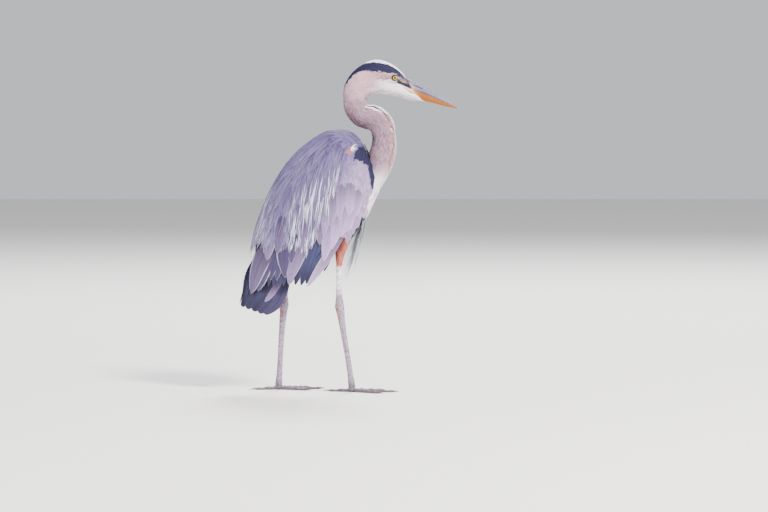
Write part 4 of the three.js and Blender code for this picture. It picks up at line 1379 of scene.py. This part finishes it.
def head_part(span, count):
    """Face and crown: the smallest feathers, growing back from the bill, none on the eye or the bare skin."""
    def keep(a, b):
        """Clear of the eye and of both bare patches."""
        off = eye_offset(body(a, b))
        clear = np.hypot(off[:, 0] - 2, off[:, 2]) > 8.6
        return clear & (lore_mask(off) < 0.5) & (gape_mask(off) < 0.4)

    def length(a, b):
        """Longer on the crown and under the chin, and growing towards the nape."""
        crown = np.where((np.abs(b) < 70) & (a > 1.4), 10.0, 7.0)
        chin = 1 + 0.7 * smooth(np.abs(b), 130, 160) * (1 - smooth(a, 5.6, 6.6))
        return crown * np.interp(a, [0, 2, 4, 6.6], [0.62, 0.85, 1.05, 1.3]) * chin

    def tip_depth(a, b):
        """Tips stand out loosely under the chin and lie flat elsewhere."""
        loose = smooth(np.abs(b), 138, 162)
        return -0.1 - 4.2 * loose * RNG.random(len(a)) ** 2 * (1 - smooth(a, 5.6, 6.6))

    def colour(points, a, b):
        """The markings, with a few dusky feathers low down."""
        return streaked(body_colour(points, a, b), 0.05 * smooth(np.abs(b), 100, 150), NECK_SHADE, 0.5)

    return [soft_tract(
        body, span, (-180, 180), count, length, graded([0, 2, 4, 6.6], [1.6, 2.1, 2.55, 2.85]), 5,
        lambda a, b: coat_depth(a) - 0.1, tip_depth, colour, keep, fringe=0.1, thick=0.22)]


def face_details():
    """Bristles on the bare strip before the eye, and the chin's point along the bill."""
    def keep(a, b):
        """On the bare strip, clear of the eye."""
        off = eye_offset(body(a, b))
        return (lore_mask(off) > 0.35) & (np.hypot(off[:, 0] - 2, off[:, 2]) > 8.8)

    bristles = soft_tract(
        body, (0.05, 2.6), (-120, 120), 5200, 3.4, 0.8, 4, lambda a, b: coat_depth(a) + 0.5,
        lambda a, b: coat_depth(a) - 0.9, lambda points, a, b: varied(lore_colour(eye_offset(points)), 0.25),
        keep, shape=HAIR, lighter=0.2, thick=0.2)
    return [bristles, chin_on_bill()]


def lower_bill_surface(a, b, depth=0.0):
    """The outside of the lower bill: a is the section number and b the angle from its keel."""
    row = curve(LOWER_BILL, a)
    turn = np.radians(b)
    high = np.cos(turn) ** 0.9
    plane = row[..., 2:4] + (row[..., 0:2] - row[..., 2:4]) * high[..., None]
    point = np.stack([plane[..., 0], row[..., 4] * np.sin(turn), plane[..., 1]], -1)
    outward = point - np.stack([row[..., 2], 0 * turn, row[..., 3]], -1)
    return point - unit(outward) * np.asarray(depth, float)[..., None]


def chin_on_bill():
    """The chin's feathers run out in a point along the underside of the lower bill."""
    a = RNG.uniform(0.0, 1.15, 330)
    b = RNG.uniform(-74, 74, 330)
    stay = np.abs(b) < 76 - 62 * a
    a, b = a[stay], b[stay]
    n = len(a)
    long = RNG.uniform(5.5, 8.5, n)
    spine, normal, _ = lay(lower_bill_surface, a, b, long, 5, 0.25, RNG.uniform(-0.9, -0.3, n),
                           flow=lambda point, along, around, a, b: -unit(along), sway=RNG.normal(0, 0.1, n))
    chart = chart_of(a, b, (-3, 60), (-180, 180))
    return blades(spine, normal, RNG.uniform(1.5, 2.1, n), CONTOUR, chart, WHITE, WHITE, 0.0, thick=0.22)


def neck_part(span, count):
    """Down the neck: fine soft feathers, looser and with dark and white dashes along the throat."""
    def colour(points, a, b):
        """The markings, with dashes down the front."""
        base = body_colour(points, a, b)
        front = smooth(np.abs(b), 120, 150) * smooth(a, 9.5, 10.2) * (1 - smooth(a, 13, 16))
        base = streaked(base, 0.14 * front, STREAK_DARK, 0.7)
        return varied(streaked(base, 0.2 * front, WHITE, 0.6), 0.1)

    return [soft_tract(
        body, span, (-180, 180), count, graded([6, 9, 15, 17], [11, 14, 18, 20]),
        graded([6, 9, 15, 17], [2.75, 2.85, 3.5, 4.1]), 5, lambda a, b: coat_depth(a) - 0.1, 0.1, colour,
        shape=LANCE | dict(hold=0.35), thick=0.25, lighter=0.25, sway=0.14)]


def breast_coat():
    """Lower neck and breast: long loose feathers that part from the body at their tips."""
    def colour(points, a, b):
        """The markings, with dusky dashes beside the midline."""
        base = body_colour(points, a, b)
        streak = np.exp(-((np.abs(b) - 158) / 10.0) ** 2) * (1 - smooth(a, 18, 19))
        base = streaked(base, 0.3 * streak, NECK_SHADE, 0.8)
        return streaked(base, 0.08 * smooth(a, 16, 18), NECK_PINK, 0.5)

    return [soft_tract(
        body, (15.8, 20.9), (-180, 180), 2800, lambda a, b: 20 + 5 * smooth(a, 17, 20), 3.8, 6,
        lambda a, b: coat_depth(a) - 0.3, lambda a, b: -0.4 - 0.8 * RNG.random(len(a)), colour,
        keep=lambda a, b: np.abs(b) > 38, shape=LANCE | dict(hold=0.25), lighter=0.18, sway=0.13)]


def trunk_coat():
    """Belly, flanks, the down below the tail, and in front the soft feathers between neck and shoulder."""
    def colour(points, a, b):
        """Ahead of the shoulder grey above, pink at the side and pale below; the trunk's own behind it."""
        away = np.abs(b)
        low = over(NECK_PINK, BREAST_PALE, smooth(away, 70, 130))
        ahead = over(MANTLE, low, smooth(away, 34, 60))
        return varied(over(ahead, trunk_colour(points), smooth(a, 1.3, 2.2)), 0.1)

    return [soft_tract(
        trunk, (-0.3, 9.9), (-180, 180), 3100, lambda a, b: 24 + 4 * smooth(a, 1, 3),
        lambda a, b: 4.6 + 2.2 * smooth(a, 1, 3), 6, lambda a, b: trunk_depth(a) - 0.5,
        lambda a, b: -0.8 - 1.6 * (1 - smooth(a, 0.5, 2)) * RNG.random(len(a)), colour,
        keep=lambda a, b: np.abs(b) > np.where(a < 3, 0, 78 - 60 * smooth(a, 6.5, 9)),
        flow=lambda point, along, around, a, b: unit(along) - [0, 0, 0.25], lighter=0.3, sway=0.16,
        thick=0.35)]


def thigh_coat(name):
    """Rust feathers down each shin to the bare skin."""
    def colour(points, a, b):
        """Rust in two tones, and dark on the front of the right thigh."""
        base = over(RUST, RUST_DEEP, (0.5 + 0.5 * wander(points, 14, 11)) * 0.7)
        edge = np.interp(points[:, 2], [286, 312, 340, 365], [-8, 0, 3, 10])
        ahead = smooth(points[:, 0] - edge, -2.5, 2.5) * smooth(points[:, 2], 292, 304)
        return over(base, BELLY_DARK, ahead * (name == "right"))

    return [soft_tract(
        shins[name], (0.08, BARE + 0.005), (-180, 180), 1400,
        graded([0.08, 0.3, BARE], [17, 11, 6.5]), graded([0.08, 0.3, BARE], [4.6, 3.4, 2.0]), 5,
        lambda a, b: mix(4.3, 0.0, smooth(a, 0.4, BARE)), lambda a, b: mix(-0.4, -0.1, smooth(a, 0.4, BARE)),
        colour, lighter=0.1, thick=0.25)]


def hang(point, along, around, a, b):
    """The lie of the wing and back: along the back line on top, and nearly straight down on the sides."""
    away = np.abs(b)
    lean = np.radians(8 + 18 * smooth(a, 0.6, 0.9) * smooth(away, 84, 108) + 14 * (1 - smooth(away, 30, 62)))
    down = np.stack([-np.sin(lean), 0 * lean, -np.cos(lean)], -1)
    weight = (smooth(away, 16, 55) * smooth(a, 0.1, 0.34))[..., None]
    return mix(unit(along), down, weight)


def shoulder_marks(points, base):
    """A black patch on the bend of the wing that runs down in a thin line, and behind its top a white spot
    with a rust spot in it."""
    x, z = points[:, 0], points[:, 2]
    rear = np.interp(z, [462, 484, 501, 512, 519, 524, 530, 540, 550], [53, 50, 47, 43, 31, 14, 14, 18, 22])
    black = smooth(x, rear - 1.5, rear + 1.5) * smooth(z, 456, 466) * (1 - smooth(z, 549, 555))
    base = over(base, SHOULDER_BLACK, black)
    white = np.exp(-(((x - 12) / 6.0) ** 2 + ((z - 549) / 5.0) ** 2) ** 2) * (1 - smooth(x, 16, 19))
    base = over(base, 0.85 * WHITE, np.clip(1.6 * white, 0, 1))
    rust = np.exp(-(((x - 4) / 6.5) ** 2 + ((z - 541) / 7.0) ** 2) ** 2)
    return over(base, srgb(136, 84, 88), np.clip(1.2 * rust, 0, 1))


def upper_colour(points, a, b):
    """Back and wing, each feather a little lighter or darker than the next."""
    spread = 0.06 + 0.06 * smooth(np.abs(b), 62, 92)
    return shoulder_marks(points, varied(cloak_colour(points, a, b), spread))


def mantle_coat():
    """Smooth feathers over the whole back and shoulders."""
    return [soft_tract(
        cloak, (0.0, 0.74), (-84, 84), 4500, graded([0, 0.15, 0.6], [14, 23, 34]),
        graded([0, 0.2, 0.6], [3.4, 5, 6.2]), 5, 4.0, 0.5, upper_colour, flow=hang, sway=0.07,
        shape=LANCE | dict(hold=0.3), fringe=0.08, lighter=0.08)]


def lesser_coat(side):
    """Rounded feathers on the front of the wing, small at its bend and larger down it."""
    return [soft_tract(
        lambda a, b, depth=0.0: cloak(a, b * side, depth), (0.0, 0.52), (60, 113), 1350,
        graded([0, 0.12, 0.5], [12, 22, 36]), graded([0, 0.12, 0.5], [4.5, 7, 11]), 6, 3.6, 0.3, upper_colour,
        keep=lambda a, b: b < 112 - 6 * smooth(a, 0.18, 0.34), flow=hang, sway=0.06, fringe=0.12,
        lighter=0.06, columns=5)]


def rim_coat(side):
    """Dark feathers down the folded wing's front rim. a runs down the wing and b from its outside to its
    inside, and depth goes back from the rim, at 2 mm to a degree round the wing."""
    def rim(a, b, depth=0.0):
        """The point 101 degrees round the cloak, less the depth, and b of the wing's thickness in."""
        inside = 22.0 - 7 * smooth(a, 0.3, 0.8)
        return cloak(a, side * (101 - np.asarray(depth, float) / 2), mix(3.0, inside, b))

    return [soft_tract(
        rim, (0.05, 0.72), (0.2, 1.5), 900, lambda a, b: 17 + 8 * a, lambda a, b: 5 + 3 * a, 5, 0.6, -1.2,
        lambda points, a, b: varied(over(SHOULDER_BLACK, BELLY_DARK, smooth(a, 0.2, 0.35)), 0.15),
        keep=lambda a, b: (b < 1) | (a < 0.22), steps=(1e-3, 0.01), sway=0.15)]


def collar_coat():
    """Where the neck comes out of the shoulders: a hoop of feathers that grow back over the mantle's front
    rim. a runs up the rim from inside to outside and b is the angle from the midline."""
    def hoop(a, b, depth=0.0):
        """The cloak's section 3% of the way along, further back with depth, and a of its thickness out."""
        return cloak(0.03 + 0.0027 * np.asarray(depth, float), b, mix(24.0, 3.0, a))

    def colour(points, a, b):
        """Pink inside, grey outside, and black at the shoulders."""
        base = over(NECK_PINK, MANTLE, np.clip(0.35 + 0.65 * a, 0, 1))
        return varied(over(base, SHOULDER_BLACK, smooth(np.abs(b), 62, 74)), 0.12)

    return [soft_tract(
        hoop, (-0.2, 0.95), (-102, 102), 800, lambda a, b: np.clip(18 * (1.1 - a), 4, 13), 4, 5, 0.8, -1.0,
        colour, steps=(0.01, 0.2))]


# Where the long shoulder plumes end, in the side view: no plume hangs lower than this.
PLUME_ENDS = np.array([
    [-226, 292], [-205, 322], [-180, 318], [-162, 331], [-140, 318], [-124, 322], [-92, 308], [-72, 333],
    [-57, 376], [-43, 409], [-27, 448], [-13, 493], [5, 529],
], float)
LEAST_PLUME = 26.0  # millimetres: shorter ones are left out


def plumes_down(side, count, lengths, depth, tip_depths, rise):
    """Plumes that hang from the shoulder: a first line of the full length is laid, and the plume ends where
    that line passes the ragged edge above. Gives their lines, normals and bake-map places."""
    span, turns = (0.2, 0.74), (2, 82)
    a, b = scatter(cloak, span, turns, count)
    long = RNG.uniform(*lengths, len(a))
    spine, _, _ = lay(cloak, a, b * side, long, 13, 2.0, 0.0, flow=hang)
    edge = np.interp(spine[..., 0], PLUME_ENDS[:, 0], PLUME_ENDS[:, 1]) + RNG.uniform(-2, 16, len(a))
    above = spine[..., 2] > edge
    long = long * np.where(above.all(0), 1.0, shares(13)[above.argmin(0)])
    stay = long > LEAST_PLUME
    a, b, long = a[stay], b[stay] * side, long[stay]
    n = len(a)
    spine, normal, _ = lay(cloak, a, b, long, 12, depth, RNG.uniform(*tip_depths, n), flow=hang,
                           sway=RNG.normal(0, 0.05, n), rise=rise)
    return spine, normal, chart_of(a, b * side, span, turns)


def scapular_coat(side):
    """Long narrow feathers from the shoulder over the wing: broad grey ones with pale edges below, and
    thin ones over them that are brightest along the wing's middle."""
    spine, normal, chart = plumes_down(side, 560, (52, 100), 3.0, (-0.9, 0.1), 0.7)
    n = len(chart)
    base = mix(MANTLE, MANTLE_DARK, 0.7 * RNG.random((n, 1)))
    low = 1 - smooth(spine[-1, :, 2], 330, 420)
    width = RNG.uniform(7.5, 12.5, n)
    tip = mix(base, PLUME_PALE, 0.02 + 0.12 * RNG.random((n, 1)) * (0.4 + 0.6 * low[:, None]))
    fringe = RNG.uniform(0.05, 0.25, n) + low * RNG.uniform(0, 0.4, n)
    broad = blades(spine, normal, width, LANCE | dict(hold=0.35, power=1.6, blunt=0.75), chart, base, tip,
                   fringe, thick=0.35, fade=(0.3, 0.9), camber=0.16)
    spine, normal, chart = plumes_down(side, 440, (60, 112), 2.6, (-2.0, -0.8), 0.6)
    n = len(chart)
    ends = spine[-1, :, 0]
    roof = np.interp(ends, [-150, -100, -40, -15], [395, 425, 470, 490])
    bright = smooth(ends, -146, -118) * (1 - smooth(ends, -36, -20))
    bright = bright * (1 - smooth(spine[-1, :, 2] - roof, -18, 14))
    bright = np.clip(bright * RNG.uniform(-0.2, 1.7, n) + 0.1 * RNG.random(n) ** 4, 0, 1)
    bright = np.maximum(bright, 0.6 * (1 - smooth(ends, -192, -172)) * RNG.random(n))
    base = mix(MANTLE, MANTLE_DARK, RNG.random((n, 1)))
    tip = over(mix(MANTLE, PLUME_PALE, 0.04), np.clip(PLUME_PALE * 1.1, 0, 1), bright)
    thin = blades(spine, normal, RNG.uniform(2.0, 3.7, n), LANCE, chart, base, tip, 0.0, thick=0.35,
                  fade=(0.36, 0.7), camber=0.25)
    return [broad, thin]


# Large feathers of each wing in the order they are laid, lowest layer first:
# [root x, root z, tip x, tip z, width, depth of the tip, shade, bow], where shade 0 is a pale covert, 1 a
# dusky inner feather and 2 a slate quill, and bow is how many degrees its middle bends to the front edge.
LARGE_FEATHERS = [
    # slate quills that show through the gaps and along the wing's foot
    [-66, 380, -130, 243, 34, 3.8, 2.0, 0], [-58, 385, -118, 240, 32, 3.6, 2.1, 0],
    [-50, 388, -105, 239, 30, 3.4, 1.95, 1], [-44, 390, -93, 242, 28, 3.2, 2.05, 1],
    [-38, 388, -80, 250, 26, 3.0, 2.1, 1], [-32, 386, -66, 259, 24, 2.8, 2.0, 1],
    [-27, 380, -53, 270, 22, 2.6, 2.1, 1],
    # inner feathers over the tail
    [-168, 326, -203, 227, 42, 2.6, 1.0, 0], [-176, 324, -219, 216, 44, 1.6, 0.8, 0],
    [-140, 352, -160, 250, 30, 2.8, 1.2, 0], [-148, 348, -174, 252, 30, 2.4, 1.25, 0],
    [-160, 396, -183, 291, 36, 1.2, 0.7, 0], [-132, 378, -141, 257, 46, 1.2, 1.0, 0],
    [-88, 384, -133, 242, 40, 0.6, 0.7, 2.0], [-112, 392, -126, 288, 34, 0.0, 0.95, 0],
    [-140, 404, -158, 310, 32, -0.4, 0.85, 0], [-90, 404, -103, 318, 28, -0.6, 0.8, 0],
    # coverts from the front of the wing, and the long pale one over the quills
    [-6, 360, -92, 236, 21, 1.0, 0.0, 1.5], [-34, 412, -55, 294, 31, 0.5, 0.3, 1.2],
    [-60, 406, -63, 331, 26, 0.0, 0.6, 0], [-20, 430, -36, 322, 33, 0.2, 0.15, 0.5],
    [-6, 452, -17, 348, 32, -0.1, 0.1, 0.5], [10, 456, -1, 362, 27, -0.1, 0.1, 0],
    [-46, 448, -54, 352, 26, -0.4, 0.45, 0], [-30, 468, -38, 376, 27, -0.5, 0.4, 0],
    [-12, 476, -18, 388, 27, -0.6, 0.3, 0], [8, 480, 4, 396, 26, -0.6, 0.26, 0],
    [24, 470, 15, 392, 23, -0.3, 0.16, 0],
]
WING_ISLANDS = 81  # cells of a wing's bake map, enough for the large feathers and the quills
TAIL_ISLANDS = 49


def nearest_on(surface, a_range, b_range):
    """Looks up where points (x, z) of the side view lie on a surface, as (a, b) of a fine grid's nearest."""
    a, b = pairs(np.linspace(*a_range, 321), np.linspace(*b_range, 241))
    grid = surface(a, b)

    def find(places, side):
        """(a, b) of each place, b turned to the given side."""
        nearest = [((grid[..., 0] - x) ** 2 + (grid[..., 2] - z) ** 2).argmin() for x, z in places]
        return np.stack([a.ravel()[nearest], b.ravel()[nearest] * side], -1)
    return find


def islands(count, index):
    """The centre and size of the index-th of count cells of the bake map, one for each large blade."""
    per_side = int(np.ceil(np.sqrt(count)))
    cell = 1 / per_side
    return np.stack([(index % per_side + 0.5) * cell, (index // per_side + 0.5) * cell], -1), cell * 0.9


def large_blades(surface, roots, tips, widths, depths, tip_depths, base, tip, fringe, count, first=0,
                 rows=18, columns=7, shape=BROAD, bow=0.0, thick=0.5):
    """Large feathers from root to tip, given as (a, b) pairs on a surface, each with its own one of count
    bake-map cells, from the first on. bow bends them sideways by that many units of b half way along."""
    n = len(roots)
    t = shares(rows)[:, None, None]
    line = mix(roots[None], tips[None], t)
    line[..., 1] += bow * 4 * t[..., 0] * (1 - t[..., 0])
    a, b = line[..., 0], line[..., 1]
    normal = surface_frame(surface, a, b, 1e-3, 0.2)[3]
    deep = mix(np.asarray(depths, float), np.asarray(tip_depths, float), t[..., 0] ** 0.8)
    spine = surface(a, b) - normal * np.broadcast_to(deep, a.shape)[..., None]
    chart, patch = islands(count, first + np.arange(n))
    return blades(spine, normal, np.broadcast_to(widths, (n,)), shape, chart, base, tip, fringe, thick=thick,
                  camber=0.1, columns=columns, patch=patch)


def shade_colours(shade):
    """Root and tip colours for the shades of the tables: 0 pale, 1 dusky, 2 slate."""
    base = mix(mix(COVERT, TERTIAL, np.clip(shade, 0, 1)), SLATE_BLUE * 1.75, np.clip(shade - 1, 0, 1))
    tip = mix(mix(COVERT * 1.32, TERTIAL * 1.1, np.clip(shade, 0, 1)), SLATE * 1.2, np.clip(shade - 1, 0, 1))
    return base, tip


def wing_large(side):
    """The wing's big feathers, from the table above, mirrored for the other wing."""
    table = np.array(LARGE_FEATHERS, float)
    find = nearest_on(cloak, (0, 1), (0, 118))
    roots, tips = find(table[:, 0:2], side), find(table[:, 2:4], side)
    shade = table[:, 6:7]
    base, tip = shade_colours(shade)
    own = 1 + 0.06 * RNG.standard_normal((len(table), 1)).clip(-2, 2)
    base, tip = 0.95 * base * own, tip * own
    fringe = np.where(shade[:, 0] > 1.5, 0.3, RNG.uniform(0.5, 0.75, len(table)))
    return [large_blades(cloak, roots, tips, table[:, 4], table[:, 5] + 2.4, table[:, 5], base, tip, fringe,
                         WING_ISLANDS, bow=table[:, 7] * side)]


def wing_flight(side):
    """Slate quills under the coverts: a fan that reaches the wing's lower edge, and paler ones behind it
    that close the wing from inside."""
    k = np.linspace(0, 1, 14)
    roots = np.stack([mix(0.46, 0.62, k), mix(90, 50, k) * side], -1)
    tips = np.stack([np.interp(k, [0, 0.3, 0.6, 1], [0.8, 0.93, 0.97, 0.97]),
                     np.interp(k, [0, 0.3, 1], [105, 107, 44]) * side], -1)
    dark = SLATE * 1.4
    first = len(LARGE_FEATHERS)
    outer = large_blades(cloak, roots, tips, 34.0, mix(7.5, 6.0, k), mix(5.0, 3.6, k), dark,
                         mix(dark, SLATE_BLUE, 0.5), 0.1, WING_ISLANDS, first, columns=5)
    first += len(k)
    k = np.linspace(0, 1, 12)
    roots = np.stack([mix(0.44, 0.6, k), mix(92, 30, k) * side], -1)
    tips = np.stack([mix(0.84, 0.9, k), mix(102, 40, k) * side], -1)
    grey = mix(SLATE, MANTLE, 0.5)
    inner = large_blades(cloak, roots, tips, 36.0, 9.0, 7.0, grey, grey, 0.2, WING_ISLANDS, first, rows=12,
                         columns=5)
    return [outer, inner]


# The tail's own feathers seen from the side, laid as the wing's are: the far ones first.
TAIL_FEATHERS = [
    [-190, 320, -249, 198, 26, 3.5, 1.95], [-180, 306, -241, 188, 28, 3.0, 2.0],
    [-170, 296, -229, 184, 30, 2.4, 1.85], [-160, 286, -215, 180, 30, 1.8, 1.95],
    [-150, 276, -201, 176, 28, 1.2, 1.75], [-143, 262, -188, 175, 25, 0.6, 1.3],
    [-196, 330, -234, 216, 26, 0.9, 1.8], [-176, 312, -214, 216, 28, 0.3, 1.9],
    [-150, 292, -190, 218, 24, -0.2, 1.7], [-146, 268, -187, 202, 15, -0.9, 0.55],
]
# Rows of nine smaller ones right across the tail: closer quills over its roof, and pale coverts under it.
# (root a, root turn, tip a, tip a at the sides, tip turn, depth, depth of the tip, colour, fringe).
TAIL_ROWS = [
    (-0.1, 40, 0.5, -0.1, 52, 0.2, -1.0, mix(TERTIAL, SLATE_BLUE, 0.4), 0.5),
    (0.0, 72, 0.66, 0.12, 76, 8.0, 7.0, mix(BELLY_PALE, PLUME_PALE, 0.2), 0.3),
]


def tail_coat():
    """Slate quills over the tail's roof, closer ones over them, and pale coverts under it."""
    table = np.array(TAIL_FEATHERS, float)
    find = nearest_on(tail_roof, (-0.25, 1.02), (0, 84))
    base, tip = shade_colours(table[:, 6:7])
    base, tip = 0.7 * base, 0.76 * tip
    parts = []
    for index, side in enumerate(SIDES.values()):
        roots, tips = find(table[:, 0:2], side), find(table[:, 2:4], side)
        parts.append(large_blades(
            tail_roof, roots, tips, table[:, 4], table[:, 5] + 1.0 + index, table[:, 5] + 0.8 * index, base,
            tip, 0.1, TAIL_ISLANDS, index * len(table), shape=ROUNDED, thick=0.6))
    across = np.linspace(-1, 1, 9)
    first = 2 * len(table)
    for root_at, root_turn, tip_at, tip_side, tip_turn, deep, tip_deep, colour, fringe in TAIL_ROWS:
        roots = np.stack([np.full(len(across), root_at), across * root_turn], -1)
        tips = np.stack([tip_at + tip_side * np.abs(across), across * tip_turn], -1)
        parts.append(large_blades(tail_roof, roots, tips, 22.0, deep, tip_deep, colour, colour, fringe,
                                  TAIL_ISLANDS, first, rows=12, columns=5))
        first += len(across)
    return parts


def hung(root, bend, end, width, shape, base, tip, rows):
    """Free feathers along arcs from root to end, drawn towards bend on the way, facing forward and outward:
    (1 - t) squared of the root, 2 t (1 - t) of the bend and t squared of the end."""
    t = shares(rows)[:, None, None]
    spine = root * (1 - t) ** 2 + bend * 2 * t * (1 - t) + end * t ** 2
    outward = np.stack([0.4 + 0 * root[:, 0], np.where(root[:, 1] > 0, 0.9, -0.9), 0 * root[:, 0]], -1)
    chart = np.stack([(root[:, 0] + 10) / 70, (root[:, 1] + 24) / 48], -1) * 0.94 + 0.03
    normal = np.broadcast_to(unit(outward), spine.shape)
    return blades(spine, normal, width, shape, chart, base, tip, 0.0, thick=0.4)


def plume_coat():
    """Thin pale plumes that hang from the lower breast in a few wisps, and the dark feathers behind them
    that hang from the belly's front edge."""
    n = 150
    wisp = RNG.choice(4, n, p=[0.3, 0.36, 0.16, 0.18])
    start = np.array([[36, -12, 398], [34, 10, 392], [40, 2, 408], [38, -6, 402]], float)[wisp]
    end = np.array([[13, -8, 263], [-6, 5, 251], [22, 1, 304], [17, -4, 288]], float)[wisp]
    end = end + RNG.normal(0, [1.3, 2, 3], (n, 3))
    end[:, 2] += 46 * RNG.random(n) ** 2
    root = start + RNG.normal(0, [2.5, 3.5, 9], (n, 3))
    bend = mix(start, end, 0.45) + [7, 0, 0] + RNG.normal(0, [1.6, 2.4, 4], (n, 3))
    base = mix(PLUME_GREEN * 0.55, BELLY_PALE, RNG.random((n, 1)))
    tip = mix(WHITE, PLUME_GREEN, RNG.random((n, 1)) ** 0.7)
    plumes = hung(root, bend, end, RNG.uniform(1.4, 3.0, n), HAIR | dict(hold=0.25), base, tip, 14)
    n = 110
    root = np.stack([RNG.uniform(2, 36, n), RNG.uniform(-21, 21, n), np.zeros(n)], -1)
    root[:, 2] = 372 + 0.75 * root[:, 0] + RNG.uniform(0, 16, n)
    end = root * [0.6, 0.8, 1] - np.stack([RNG.uniform(2, 8, n), 0 * root[:, 0], RNG.uniform(34, 46, n)], -1)
    bend = mix(root, end, 0.5) + [4, 0, 0]
    tip = mix(BELLY_DARK, BELLY_PALE, 0.35 * RNG.random((n, 1)) ** 2)
    return [plumes, hung(root, bend, end, RNG.uniform(5, 8, n), CONTOUR, BELLY_DARK, tip, 8)]


def dress():
    """Lays every tract and makes the pieces."""
    soft = feather_material("soft_feather", barbs=7.0, contrast=0.26, shaft=0.08, root_grey_and_painted_shade=0.16)
    mantle = feather_material("mantle_feather", barbs=16.0, contrast=0.34, shaft=0.1, root_grey_and_painted_shade=0.22)
    plume = feather_material("plume_feather", barbs=30.0, contrast=0.35, shaft=0.05, root_grey_and_painted_shade=0.35,
                             fringe=0.5)
    covert = feather_material("covert_feather", barbs=46.0, contrast=0.46, shaft=0.4, root_grey_and_painted_shade=0.55,
                              fringe=0.84)
    quill = feather_material("quill_feather", barbs=60.0, contrast=0.45, shaft=0.6, root_grey_and_painted_shade=0.25,
                             roughness=0.55, fringe=0.84)
    coat("head_coat_front", head_part((0.02, 3.0), 2700) + face_details(), soft)
    coat("head_coat_rear", head_part((2.9, 6.6), 3600), soft)
    coat("neck_coat_upper", neck_part((6.2, 11.0), 3900), soft)
    coat("neck_coat_lower", neck_part((10.9, 16.2), 4000), soft)
    coat("breast_coat", breast_coat(), soft)
    coat("breast_wisps", plume_coat(), plume, ["breast_plumes"])
    coat("belly_coat", trunk_coat(), soft)
    for name, side in SIDES.items():
        coat("thigh_coat_" + name, thigh_coat(name), soft)
        coat("wing_coverts_" + name, lesser_coat(side), covert)
        coat("wing_rim_" + name, rim_coat(side), soft)
        coat("wing_feathers_" + name, wing_large(side), covert, ["wing_" + name])
        coat("quills_" + name, wing_flight(side), quill, ["flight_feathers_" + name])
        coat("shoulder_plumes_" + name, scapular_coat(side), plume)
    coat("mantle", mantle_coat(), mantle, ["back"])
    coat("collar", collar_coat(), soft)
    coat("tail_feathers", tail_coat(), quill, ["tail"])


stand_camera()
light_studio()
lay_floor()
make_skin()
make_eyes()
make_bill()
make_claws()
dress()
